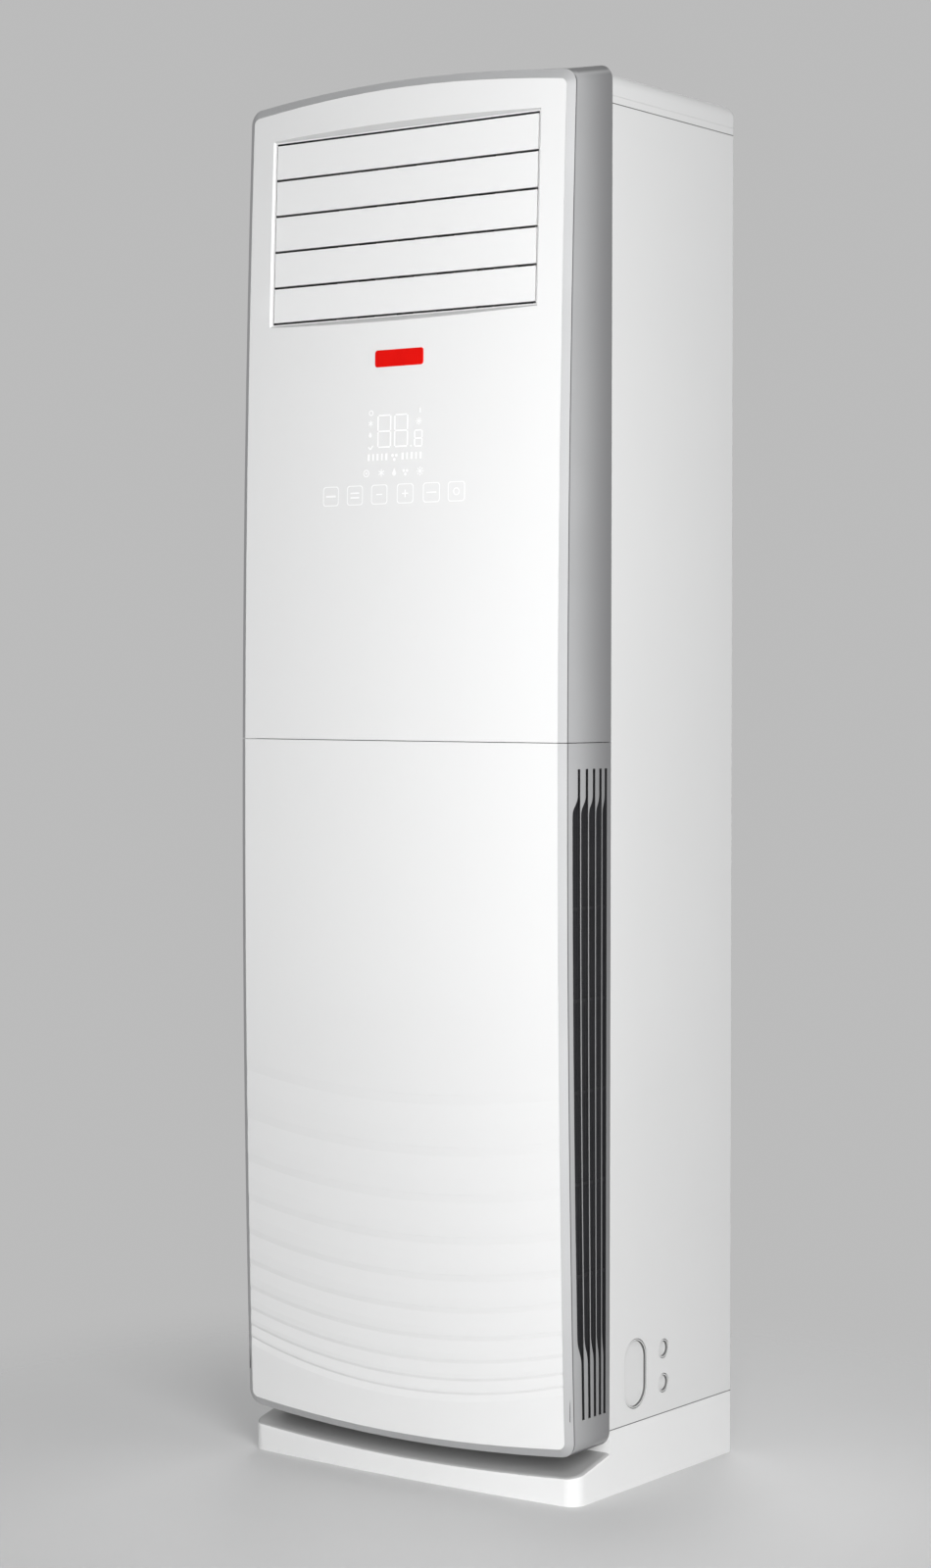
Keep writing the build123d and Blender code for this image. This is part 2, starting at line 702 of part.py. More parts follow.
def build_louvre(index):
    """One slat: face skin with returned edges, ribs, end caps, pins and a crank."""
    v = louvre_v(index)
    pivot = (LOUVRE_PIVOT, v)
    with BuildPart() as louvre:
        with BuildSketch(outlet_side(-SLAT_HALF)) as section:
            with Locations((LOUVRE_RETURN / 2, v)):
                Rectangle(LOUVRE_RETURN, 2 * LOUVRE_HALF_HEIGHT)
            fillet(section.vertices().group_by(Axis.Y)[0], LOUVRE_EDGE_RADIUS)
            with Locations((LOUVRE_SKIN + LOUVRE_RETURN / 2, v)):
                Rectangle(
                    LOUVRE_RETURN,
                    2 * (LOUVRE_HALF_HEIGHT - LOUVRE_SKIN),
                    mode=Mode.SUBTRACT,
                )
        extrude(amount=2 * SLAT_HALF)
        rib_pitch = 2 * SLAT_HALF / (LOUVRE_RIB_COUNT + 1)
        rib_starts = [-SLAT_HALF, SLAT_HALF - LOUVRE_SKIN]
        rib_starts += [-SLAT_HALF + rib_pitch * (rib + 1) for rib in range(LOUVRE_RIB_COUNT)]
        for start in rib_starts:
            with BuildSketch(outlet_side(start)):
                with Locations((LOUVRE_RETURN / 2, v)):
                    Rectangle(
                        LOUVRE_RETURN - LOUVRE_RIB_INSET,
                        2 * (LOUVRE_HALF_HEIGHT - LOUVRE_RIB_INSET),
                    )
                with Locations(pivot):
                    Circle(HUB_RADIUS)
            extrude(amount=LOUVRE_SKIN)
        with BuildSketch(outlet_side(-WALL_OUT - PIN_END)):
            with Locations(pivot):
                Circle(PIN_RADIUS)
        extrude(amount=WALL_OUT + PIN_END - SLAT_HALF + LOUVRE_SKIN)
        with BuildSketch(outlet_side(SLAT_HALF - LOUVRE_SKIN)):
            with Locations(pivot):
                Circle(PIN_RADIUS)
        extrude(amount=SHAFT_END_U - SLAT_HALF + LOUVRE_SKIN)
        with BuildSketch(outlet_side(CRANK_U)):
            arm_middle = ((LOUVRE_PIVOT - CRANK_N) / 2, v + CRANK_V / 2)
            SlotCenterPoint(arm_middle, pivot, 2 * CRANK_HALF_WIDTH)
        extrude(amount=CRANK_THICKNESS)
        with BuildSketch(outlet_side(CRANK_U)):
            with Locations((-CRANK_N, v + CRANK_V)):
                Circle(CRANK_PIN)
        extrude(amount=CRANK_THICKNESS + LINK_GAP + LINK_THICKNESS + PIN_END)
    return louvre.part


for louvre_index in range(LOUVRE_COUNT):
    finish(build_louvre(louvre_index), f"louvre_{louvre_index + 1}")

with BuildPart() as louvre_link:
    link_top = louvre_v(0) + CRANK_V
    link_low = louvre_v(LOUVRE_COUNT - 1) + CRANK_V
    with BuildSketch(outlet_side(LINK_U)):
        with Locations((-CRANK_N, (link_top + link_low) / 2)):
            SlotCenterToCenter(link_top - link_low, 2 * LINK_HALF_WIDTH, rotation=90)
        with Locations(
            *[(-CRANK_N, louvre_v(index) + CRANK_V) for index in range(LOUVRE_COUNT)]
        ):
            Circle(CRANK_PIN + LINK_HOLE_FIT, mode=Mode.SUBTRACT)
    extrude(amount=LINK_THICKNESS)
finish(louvre_link.part, "louvre_link")

with BuildPart() as louvre_bushes:
    for side in (-1, 1):
        for louvre_index in range(LOUVRE_COUNT):
            place = (LOUVRE_PIVOT, louvre_v(louvre_index))
            with BuildSketch(outlet_side(side * WALL_IN)):
                with Locations(place):
                    Circle(PIN_RADIUS + PIN_FIT + BUSH_WALL)
                    Circle(PIN_RADIUS + PIN_FIT, mode=Mode.SUBTRACT)
            extrude(amount=side * DUCT_WALL)
finish(louvre_bushes.part, "louvre_bushes")


# ---------------------------------------------------------------- guide vanes
def vane_u(index):
    """Place across the outlet of a vane's pivot."""
    return (index - (VANE_COUNT - 1) / 2) * VANE_PITCH


DUCT_HALF_RISE = OUTLET_HALF_RISE + LAP_GAP
VANE_HALF_HEIGHT = DUCT_HALF_RISE - VANE_END_GAP
FLOOR_V = -DUCT_HALF_RISE - DUCT_WALL
VANE_CRANK_V = FLOOR_V - CRANK_GAP
VANE_LINK_V = VANE_CRANK_V - CRANK_THICKNESS - LINK_GAP
VANE_END_V = VANE_LINK_V - LINK_THICKNESS - SHAFT_TAIL
VANE_PIN_D = VANE_SETBACK + CRANK_RADIUS


def build_vane(index):
    """One upright vane: tapered blade, pins above and below, and a crank under the duct."""
    u = vane_u(index)
    pivot = (u, VANE_SETBACK)
    with BuildPart() as vane:
        with BuildSketch(outlet_level(-VANE_HALF_HEIGHT)):
            with Locations(pivot):
                Ellipse(VANE_THICKNESS, VANE_HALF_DEPTH)
                Circle(VANE_PIN_RADIUS + VANE_BOSS)
        extrude(amount=2 * VANE_HALF_HEIGHT)
        with BuildSketch(outlet_level(VANE_END_V)):
            with Locations(pivot):
                Circle(VANE_PIN_RADIUS)
        extrude(amount=DUCT_HALF_RISE + DUCT_WALL + PIN_END - VANE_END_V)
        with BuildSketch(outlet_level(VANE_CRANK_V)):
            SlotCenterPoint((u, (VANE_SETBACK + VANE_PIN_D) / 2), pivot, 2 * CRANK_HALF_WIDTH)
        extrude(amount=-CRANK_THICKNESS)
        with BuildSketch(outlet_level(VANE_CRANK_V)):
            with Locations((u, VANE_PIN_D)):
                Circle(CRANK_PIN)
        extrude(amount=-(CRANK_THICKNESS + LINK_GAP + LINK_THICKNESS + PIN_END))
    return vane.part


for vane_index in range(VANE_COUNT):
    finish(build_vane(vane_index), f"vane_{vane_index + 1}")

with BuildPart() as vane_link:
    with BuildSketch(outlet_level(VANE_LINK_V)):
        with Locations((0, VANE_PIN_D)):
            SlotCenterToCenter((VANE_COUNT - 1) * VANE_PITCH, 2 * LINK_HALF_WIDTH)
        with Locations(*[(vane_u(index), VANE_PIN_D) for index in range(VANE_COUNT)]):
            Circle(CRANK_PIN + LINK_HOLE_FIT, mode=Mode.SUBTRACT)
    extrude(amount=-LINK_THICKNESS)
finish(vane_link.part, "vane_link")

# ---------------------------------------------------------------- outlet duct
DUCT_START = OUTLET_PAD_BACK + LAP_GAP
DUCT_END_Y = FRAME_Y + SCROLL_FRONT - LAP_GAP
DUCT_REACH = (DUCT_END_Y - OUTLET_Y) / cos(radians(LEAN))
DUCT_END_HEIGHT = OUTLET_HEIGHT - DUCT_REACH * sin(radians(LEAN))

with BuildPart() as outlet_duct:
    with BuildSketch(outlet_face(-DUCT_START)):
        Rectangle(2 * WALL_OUT, 2 * (DUCT_HALF_RISE + DUCT_WALL))
    extrude(amount=-2 * DUCT_REACH)
    split(bisect_by=at_y(DUCT_END_Y), keep=Keep.TOP)
    with BuildSketch(at_y(DUCT_END_Y)):
        with Locations((0, DUCT_END_HEIGHT)):
            Rectangle(
                2 * (WALL_OUT + DUCT_FLANGE), 2 * (DUCT_HALF_RISE + DUCT_WALL + DUCT_FLANGE)
            )
    extrude(amount=DUCT_WALL)
    with BuildSketch(outlet_face(0)):
        Rectangle(2 * WALL_IN, 2 * DUCT_HALF_RISE)
    extrude(amount=-2 * DUCT_REACH, mode=Mode.SUBTRACT)
    with BuildSketch(outlet_side(-WALL_OUT)):
        with Locations(
            *[(LOUVRE_PIVOT, louvre_v(index)) for index in range(LOUVRE_COUNT)]
        ):
            Circle(PIN_RADIUS + PIN_FIT + BUSH_WALL)
    extrude(amount=2 * WALL_OUT, mode=Mode.SUBTRACT)
    with BuildSketch(outlet_level(FLOOR_V)):
        with Locations(*[(vane_u(index), VANE_SETBACK) for index in range(VANE_COUNT)]):
            Circle(VANE_PIN_RADIUS + PIN_FIT)
    extrude(amount=-2 * FLOOR_V, mode=Mode.SUBTRACT)
finish(outlet_duct.part, "outlet_duct")


def build_stepper(shaft, post, pin_radius, spin):
    """Geared motor: offset can, eared plate, coupling sleeve on a pin, two mounting posts."""
    body = shaft.offset(STEPPER_SLEEVE)
    with BuildPart() as stepper:
        with BuildSketch(body):
            with Locations((STEPPER_OFFSET, 0)):
                Circle(STEPPER_RADIUS)
        extrude(amount=STEPPER_LENGTH)
        with BuildSketch(body):
            with Locations((STEPPER_OFFSET, 0)):
                SlotCenterToCenter(2 * STEPPER_EAR, 2 * STEPPER_EAR_RADIUS, rotation=spin)
        extrude(amount=STEPPER_PLATE)
        with BuildSketch(shaft):
            Circle(pin_radius + BUSH_WALL)
        extrude(amount=STEPPER_SLEEVE)
        with BuildSketch(shaft):
            Circle(pin_radius + PIN_FIT)
        extrude(amount=STEPPER_SLEEVE, mode=Mode.SUBTRACT)
        with BuildSketch(body):
            with Locations((STEPPER_OFFSET, 0)):
                with PolarLocations(STEPPER_EAR, 2, start_angle=spin):
                    Circle(STEPPER_POST_RADIUS)
        extrude(amount=-post)
    return stepper.part


LOUVRE_SHAFT = Plane(
    outlet_point(SHAFT_END_U - STEPPER_SLEEVE + LAP_GAP, 0, -LOUVRE_PIVOT), -OUT, (1, 0, 0)
)
LOUVRE_POST = SHAFT_END_U - WALL_OUT
finish(build_stepper(LOUVRE_SHAFT, LOUVRE_POST, PIN_RADIUS, LOUVRE_EAR_TURN), "louvre_motor")

VANE_SHAFT = Plane(
    outlet_point(vane_u(2), VANE_END_V + STEPPER_SLEEVE - LAP_GAP, -VANE_SETBACK), (1, 0, 0), -UP
)
VANE_POST = FLOOR_V - VANE_END_V
finish(build_stepper(VANE_SHAFT, VANE_POST, VANE_PIN_RADIUS, 0), "vane_motor")

# ---------------------------------------------------------------- display and touch boards
DISPLAY_TILT = degrees(asin((DISPLAY_HEIGHT - BOW_HEIGHT) / BOW_RADIUS))
BOARD_OUT = Vector(0, -cos(radians(DISPLAY_TILT)), sin(radians(DISPLAY_TILT)))

with BuildPart() as display_board:
    board_face = Plane(
        (0, face_y(0, DISPLAY_HEIGHT) + DISPLAY_SETBACK, DISPLAY_HEIGHT), (1, 0, 0), BOARD_OUT
    )
    with BuildSketch(board_face):
        RectangleRounded(DISPLAY_WIDTH, DISPLAY_RISE, 4)
    extrude(amount=-BOARD_THICKNESS)
    with BuildSketch(board_face):
        with Locations((0, DISPLAY_RISE / 6)):
            with GridLocations(DIGIT_WIDTH + 2, 0, 2, 1):
                Rectangle(DIGIT_WIDTH, DIGIT_RISE)
        with Locations((0, -DISPLAY_RISE / 4)):
            Rectangle(4 * DIGIT_WIDTH, DIGIT_RISE / 3)
    extrude(amount=DISPLAY_SETBACK - PANEL_WALL - DIGIT_GAP)
    with BuildSketch(board_face):
        with GridLocations(
            DISPLAY_WIDTH - 2 * BOARD_POST_INSET, DISPLAY_RISE - 2 * BOARD_POST_INSET, 2, 2
        ):
            Circle(BOARD_POST_RADIUS)
    extrude(amount=DISPLAY_SETBACK - PANEL_WALL - PANEL_FIT - BOARD_POST_GAP)
finish(display_board.part, "display_board")

with BuildPart() as touch_board:
    touch_y = face_y(TOUCH_WIDTH / 2, TOUCH_HEIGHT) + PANEL_WALL + TOUCH_GAP
    touch_face = Plane((0, touch_y, TOUCH_HEIGHT), (1, 0, 0), BOARD_OUT)
    with BuildSketch(touch_face):
        RectangleRounded(TOUCH_WIDTH, TOUCH_RISE, 3)
    extrude(amount=-BOARD_THICKNESS)
finish(touch_board.part, "touch_board")


# ---------------------------------------------------------------- base
def foot_plan(inset):
    """Plan of the base: the cabinet's footprint with the bowed foot in front."""
    half = HALF - inset
    side_y = FRAME_Y - FOOT_REACH + FOOT_BULGE + inset
    rear = REAR_Y - inset
    with BuildSketch() as plan:
        with BuildLine():
            ThreePointArc((-half, side_y), (0, side_y - FOOT_BULGE), (half, side_y))
            Polyline((half, side_y), (half, rear), (-half, rear), (-half, side_y))
        make_face()
        fillet(plan.vertices().group_by(Axis.Y)[0], FOOT_CORNER - inset)
        fillet(plan.vertices().group_by(Axis.Y)[-1], REAR_EDGE_RADIUS - inset)
    return plan.sketch


def slope_section(side_z, middle_z):
    """Section of the space above the foot's sloped top."""
    wide = HALF + RIM_WIDTH
    ceiling = BASE_HEIGHT + RIM_WIDTH
    with BuildSketch() as section:
        with BuildLine():
            ThreePointArc((-wide, side_z), (0, middle_z), (wide, side_z))
            Polyline((wide, side_z), (wide, ceiling), (-wide, ceiling), (-wide, side_z))
        make_face()
    return section.sketch


def base_block(inset):
    """Base as a closed block, inset for its inside."""
    with BuildPart() as block:
        with BuildSketch():
            add(foot_plan(inset))
        extrude(amount=BASE_HEIGHT - inset)
        with BuildSketch(at_y(FRAME_Y + inset)):
            add(slope_section(SLOPE_TOP_SIDE - inset, SLOPE_TOP_MIDDLE - inset))
        with BuildSketch(at_y(FRAME_Y - SLOPE_RUN)):
            add(slope_section(SLOPE_LOW_SIDE - inset, SLOPE_LOW_MIDDLE - inset))
        loft(ruled=True, mode=Mode.SUBTRACT)
    return block.part


with BuildPart() as base:
    add(base_block(0.0))
    slope = base.faces().filter_by(lambda f: f.center().Y < FRAME_Y and f.normal_at().Z > 0.8)
    rounded = slope[0].edges().filter_by(lambda e: e.center().Y < FRAME_Y - 1)
    fillet(rounded, FOOT_EDGE_RADIUS)
    with BuildPart(mode=Mode.PRIVATE) as base_ribs:
        with BuildSketch():
            with GridLocations(CABINET_WIDTH / 4, 0, 3, 1):
                Rectangle(BASE_RIB, CABINET_WIDTH)
            with Locations((0, (REAR_Y + FRAME_Y) / 2)):
                Rectangle(CABINET_WIDTH, BASE_RIB)
            with Locations((0, FRAME_Y + BASE_WALL / 2)):
                Rectangle(CABINET_WIDTH, BASE_RIB)
        extrude(amount=BASE_HEIGHT)
    add(base_block(BASE_WALL) - base_ribs.part, mode=Mode.SUBTRACT)
finish(base.part, "base")


# ---------------------------------------------------------------- cabinet panels
def oblong_hole(grow):
    """Upright oblong of the pipe outlet, grown all round."""
    with BuildSketch() as hole:
        with Locations((FRAME_Y + OBLONG_SETBACK, OBLONG_HEIGHT)):
            SlotOverall(OBLONG_RISE + 2 * grow, OBLONG_WIDTH + 2 * grow, rotation=90)
    return hole.sketch


def round_holes(grow):
    """The two round outlets beside the oblong one, grown all round."""
    with BuildSketch() as holes:
        with Locations(*[(FRAME_Y + ROUND_SETBACK, z) for z in ROUND_HEIGHTS]):
            Circle(ROUND_RADIUS + grow)
    return holes.sketch


PANEL_LOW = BASE_HEIGHT + PARTING_GAP / 2
PANEL_HIGH = TOP_SEAM - PARTING_GAP / 2
SCREW_PLACES = [
    (side * (HALF - SIDE_FLANGE / 2), SCREW_LOW + SCREW_PITCH * row)
    for side in (-1, 1)
    for row in range(SCREW_COUNT)
]

with BuildPart() as right_side_panel:
    with BuildSketch(Plane.XY.offset(PANEL_LOW)) as channel:
        with BuildLine():
            Polyline(
                (HALF - SIDE_FLANGE, FRAME_Y),
                (HALF, FRAME_Y),
                (HALF, REAR_Y),
                (HALF - SIDE_FLANGE, REAR_Y),
                close=True,
            )
        make_face()
        fillet(channel.vertices().group_by(Axis.X)[-1].sort_by(Axis.Y)[-1], REAR_EDGE_RADIUS)
        with BuildLine():
            Polyline(
                (HALF - SIDE_FLANGE, FRAME_Y + SHEET),
                (INNER_HALF, FRAME_Y + SHEET),
                (INNER_HALF, REAR_Y - SHEET),
                (HALF - SIDE_FLANGE, REAR_Y - SHEET),
                close=True,
            )
        make_face(mode=Mode.SUBTRACT)
    extrude(amount=PANEL_HIGH - PANEL_LOW)
    with BuildSketch(at_x(INNER_HALF)):
        add(oblong_hole(0))
        add(round_holes(0))
    extrude(amount=SHEET, mode=Mode.SUBTRACT)
    with BuildSketch(at_y(REAR_Y)):
        with Locations(*SCREW_PLACES):
            Circle(SCREW_HEAD + CATCH_FIT)
    extrude(amount=SHEET, mode=Mode.SUBTRACT)
    with BuildSketch(at_y(FRAME_Y + SHEET)):
        with Locations(*[(HALF - CATCH_INSET, z) for z in CATCH_HEIGHTS]):
            Circle(CATCH_RADIUS + CATCH_FIT + CATCH_CLEARANCE)
    extrude(amount=SHEET, mode=Mode.SUBTRACT)
finish(right_side_panel.part, "right_side_panel")

with BuildPart() as left_side_panel:
    mirror(right_side_panel.part, about=Plane.YZ)
finish(left_side_panel.part, "left_side_panel")

with BuildPart() as rear_panel:
    panel_half = HALF - SIDE_FLANGE - LAP_GAP
    lap_half = SEAT_HALF - REAR_EDGE_RADIUS
    lap_y = REAR_Y - SHEET - LAP_GAP / 3
    height = PANEL_HIGH - PANEL_LOW
    middle = (PANEL_HIGH + PANEL_LOW) / 2
    with BuildSketch(at_y(REAR_Y)):
        with Locations((0, middle)):
            Rectangle(2 * panel_half, height)
    extrude(amount=2 * SHEET + LAP_GAP / 3)
    with BuildSketch(at_y(REAR_Y - 2 * SHEET - LAP_GAP / 3)):
        with Locations((0, middle)):
            Rectangle(2 * (panel_half - LAP), height)
    extrude(amount=-(SHEET + LAP_GAP / 3), mode=Mode.SUBTRACT)
    with BuildSketch(at_y(lap_y)):
        with Locations((0, middle)):
            Rectangle(2 * lap_half, height)
            Rectangle(2 * (panel_half - LAP), height, mode=Mode.SUBTRACT)
    extrude(amount=SHEET)
    bead_rows = [(0, BEAD_LOW + BEAD_PITCH * row) for row in range(BEAD_COUNT)]
    with BuildSketch(at_y(REAR_Y - SHEET)):
        with Locations(*bead_rows):
            SlotOverall(BEAD_LENGTH + 2 * SHEET, BEAD_WIDTH + 2 * SHEET)
    extrude(amount=BEAD_DEPTH)
    with BuildSketch(at_y(REAR_Y)):
        with Locations(*bead_rows):
            SlotOverall(BEAD_LENGTH, BEAD_WIDTH)
    extrude(amount=BEAD_DEPTH, mode=Mode.SUBTRACT)
    with BuildSketch(at_y(REAR_Y)):
        with Locations((0, BRACKET_HEIGHT)):
            with GridLocations(BRACKET_SPACING, 0, 2, 1):
                Circle(BRACKET_HOLE)
        with Locations(*SCREW_PLACES):
            Circle(SCREW_RADIUS + CATCH_FIT)
    extrude(amount=3 * SHEET, mode=Mode.SUBTRACT)
finish(rear_panel.part, "rear_panel")

with BuildPart() as top_cover:
    cover_middle = (REAR_Y + FRAME_Y) / 2
    with BuildSketch(Plane.XY.offset(TOP_SEAM)) as cap_plan:
        with Locations((0, cover_middle)):
            Rectangle(CABINET_WIDTH, CABINET_DEPTH)
        fillet(cap_plan.vertices().group_by(Axis.Y)[-1], REAR_EDGE_RADIUS)
    extrude(amount=TOP_COVER_HEIGHT)
    top_edges = top_cover.faces().sort_by(Axis.Z)[-1].edges()
    fillet(top_edges.filter_by(lambda e: e.center().Y > FRAME_Y + 1), TOP_EDGE_RADIUS)
    with BuildSketch(Plane.XY.offset(TOP_SEAM)):
        with Locations((0, cover_middle)):
            RectangleRounded(
                CABINET_WIDTH - 2 * CAP_WALL, CABINET_DEPTH - 2 * CAP_WALL, REAR_EDGE_RADIUS
            )
    extrude(amount=TOP_COVER_HEIGHT - TOP_EDGE_RADIUS / 2, mode=Mode.SUBTRACT)
    with BuildSketch(Plane.XY.offset(TOP_SEAM - LAP)):
        with Locations((0, cover_middle)):
            skirt_depth = CABINET_DEPTH - 2 * (3 * SHEET + LAP_GAP)
            Rectangle(2 * SEAT_HALF, skirt_depth)
            Rectangle(2 * (SEAT_HALF - CAP_WALL), skirt_depth - 2 * CAP_WALL, mode=Mode.SUBTRACT)
    extrude(amount=LAP + CAP_WALL)
finish(top_cover.part, "top_cover")

with BuildPart() as cabinet_screws:
    with BuildSketch(at_y(REAR_Y - PARTING_GAP / 2)):
        with Locations(*SCREW_PLACES):
            Circle(SCREW_HEAD)
    extrude(amount=SHEET - PARTING_GAP / 2)
    with BuildSketch(at_y(REAR_Y - PARTING_GAP / 2)):
        with Locations(*SCREW_PLACES):
            Circle(SCREW_RADIUS)
    extrude(amount=SCREW_LENGTH)
finish(cabinet_screws.part, "cabinet_screws")


# ---------------------------------------------------------------- plugs of the pipe outlets
def build_plug(side, wide, narrow):
    """Flanged plug behind a side panel: flange outline, then the boss filling the hole."""
    seat = side * (INNER_HALF - LAP_GAP)
    with BuildPart() as plug:
        with BuildSketch(at_x(seat)):
            add(wide)
        extrude(amount=-side * PLUG_WALL)
        with BuildSketch(at_x(seat - side * PLUG_WALL)):
            add(narrow)
        extrude(amount=side * (PLUG_WALL + LAP_GAP + SHEET - PLUG_RECESS))
        with BuildSketch(at_x(seat - side * PLUG_WALL)):
            add(offset(narrow, amount=-PLUG_WALL, mode=Mode.PRIVATE))
        extrude(amount=side * (LAP_GAP + SHEET - PLUG_RECESS), mode=Mode.SUBTRACT)
    return plug.part


for plug_side, plug_name in ((-1, "left"), (1, "right")):
    cover_plug = build_plug(plug_side, oblong_hole(PLUG_RIM), oblong_hole(-PLUG_FIT))
    finish(cover_plug, f"{plug_name}_pipe_cover")

with BuildPart() as hole_plugs:
    for plug_side in (-1, 1):
        add(build_plug(plug_side, round_holes(PLUG_RIM), round_holes(-PLUG_FIT)))
finish(hole_plugs.part, "hole_plugs")

# ---------------------------------------------------------------- catches of the lower cover
CATCH_PLACES = [
    (side * (HALF - CATCH_INSET), z) for side in (-1, 1) for z in CATCH_HEIGHTS
]
CATCH_FLANGE_Y = FRAME_Y - COVER_GAP - TRIM_REAR

with BuildPart() as cover_catches:
    with BuildSketch(at_y(CATCH_FLANGE_Y)):
        with Locations(*CATCH_PLACES):
            Circle(CATCH_RADIUS + CATCH_HEAD_RIM)
    extrude(amount=CATCH_HEAD)
    with BuildSketch(at_y(CATCH_FLANGE_Y)):
        with Locations(*CATCH_PLACES):
            Circle(CATCH_RADIUS)
    extrude(amount=-(CATCH_LENGTH + TRIM_REAR))
    chamfer(cover_catches.faces().group_by(Axis.Y)[-1].edges(), CATCH_RADIUS / 3)
finish(cover_catches.part, "cover_catches")

with BuildPart() as catch_sockets:
    with BuildSketch(at_y(FRAME_Y + SHEET + LAP_GAP)):
        with Locations(*CATCH_PLACES):
            Circle(CATCH_RADIUS + CATCH_FIT + SOCKET_WALL)
            Circle(CATCH_RADIUS + CATCH_FIT, mode=Mode.SUBTRACT)
    extrude(amount=-SOCKET_LENGTH)
finish(catch_sockets.part, "catch_sockets")


# ---------------------------------------------------------------- air filters
def build_filter(side):
    """Frame with cross ribs and a fine net, behind the slots of one side band."""
    outer = side * (HALF - TRIM_WALL - FILTER_GAP)
    ribs = [FILTER_RIB_LOW + FILTER_RIB_PITCH * rib for rib in range(FILTER_RIB_COUNT)]
    with BuildPart() as screen:
        with BuildSketch(at_x(outer)):
            add(intake_field(FILTER_MARGIN))
        extrude(amount=-side * FILTER_THICKNESS)
        with BuildSketch(at_x(outer)):
            add(intake_field(FILTER_MARGIN - FILTER_RIB))
            with Locations(*[(FRAME_Y - BAND_DEPTH / 2, z) for z in ribs]):
                Rectangle(2 * BAND_DEPTH, FILTER_RIB, mode=Mode.SUBTRACT)
        extrude(amount=-side * FILTER_THICKNESS, mode=Mode.SUBTRACT)
        with BuildSketch(at_x(outer - side * (FILTER_THICKNESS + FILTER_NET) / 2)):
            add(intake_field(FILTER_MARGIN / 2))
        extrude(amount=side * FILTER_NET)
    return screen.part


finish(build_filter(-1), "left_filter")
finish(build_filter(1), "right_filter")

# ---------------------------------------------------------------- cabinet front frame
FRAME_LOW = BASE_HEIGHT + LAP_GAP
FRAME_HIGH = TOP_SEAM - LAP - LAP_GAP


def frame_rings(wall):
    """Uprights, rails and crossbar in front view, thinned by a wall on every edge."""
    lower_window = SEAM_HEIGHT - CROSSBAR / 2 - (FRAME_LOW + BOTTOM_RAIL)
    upper_window = FRAME_HIGH - TOP_RAIL - (SEAM_HEIGHT + CROSSBAR / 2)
    window_width = 2 * (FRAME_HALF - UPRIGHT) + 2 * wall
    with BuildSketch() as rings:
        with Locations((0, (FRAME_LOW + FRAME_HIGH) / 2)):
            Rectangle(2 * (FRAME_HALF - wall), FRAME_HIGH - FRAME_LOW - 2 * wall)
        with Locations((0, FRAME_LOW + BOTTOM_RAIL + lower_window / 2)):
            Rectangle(window_width, lower_window + 2 * wall, mode=Mode.SUBTRACT)
        with Locations((0, FRAME_HIGH - TOP_RAIL - upper_window / 2)):
            Rectangle(window_width, upper_window + 2 * wall, mode=Mode.SUBTRACT)
    return rings.sketch


with BuildPart() as front_frame:
    with BuildSketch(at_y(FRAME_Y)):
        add(frame_rings(0))
    extrude(amount=-(SCROLL_FRONT - LAP_GAP))
    with BuildSketch(at_y(FRAME_Y + FRAME_WALL)):
        add(frame_rings(FRAME_WALL))
    extrude(amount=-SCROLL_FRONT, mode=Mode.SUBTRACT)
finish(front_frame.part, "front_frame")

# ---------------------------------------------------------------- fan scroll
TONGUE = (
    FAN_X + SCROLL_GROWTH / 2 + SCROLL_RADIUS * cos(radians(TONGUE_ANGLE)),
    FAN_HEIGHT - SCROLL_GROWTH / 2 + SCROLL_RADIUS * sin(radians(TONGUE_ANGLE)),
)
SCROLL_LEFT = FAN_X - SCROLL_GROWTH / 2 - (SCROLL_RADIUS + 2 * SCROLL_GROWTH)
SCROLL_RIGHT = TONGUE[0] + TONGUE_RUN
FAN_CENTRE = (FAN_X, FAN_HEIGHT)
SCROLL_Y = PARTITION_Y + PARTITION + LAP_GAP


def scroll_outline(grow):
    """Four-centre volute opening upwards on the left, grown by a wall."""
    shift = SCROLL_GROWTH / 2
    over = SHELF_HEIGHT + SCROLL_GROWTH
    with BuildSketch() as outline:
        with BuildLine():
            Line((SCROLL_LEFT, over), (SCROLL_LEFT, FAN_HEIGHT + shift))
            centre = (FAN_X - shift, FAN_HEIGHT + shift)
            CenterArc(centre, SCROLL_RADIUS + 2 * SCROLL_GROWTH, 180, 90)
            centre = (FAN_X - shift, FAN_HEIGHT - shift)
            CenterArc(centre, SCROLL_RADIUS + SCROLL_GROWTH, 270, 90)
            centre = (FAN_X + shift, FAN_HEIGHT - shift)
            CenterArc(centre, SCROLL_RADIUS, 0, TONGUE_ANGLE)
            Polyline(TONGUE, (SCROLL_RIGHT, over), (SCROLL_LEFT, over))
        make_face()
        fillet(outline.vertices().sort_by_distance(TONGUE)[0], TONGUE_NOSE)
        if grow > 0:
            offset(amount=grow, kind=Kind.INTERSECTION)
    return outline.sketch


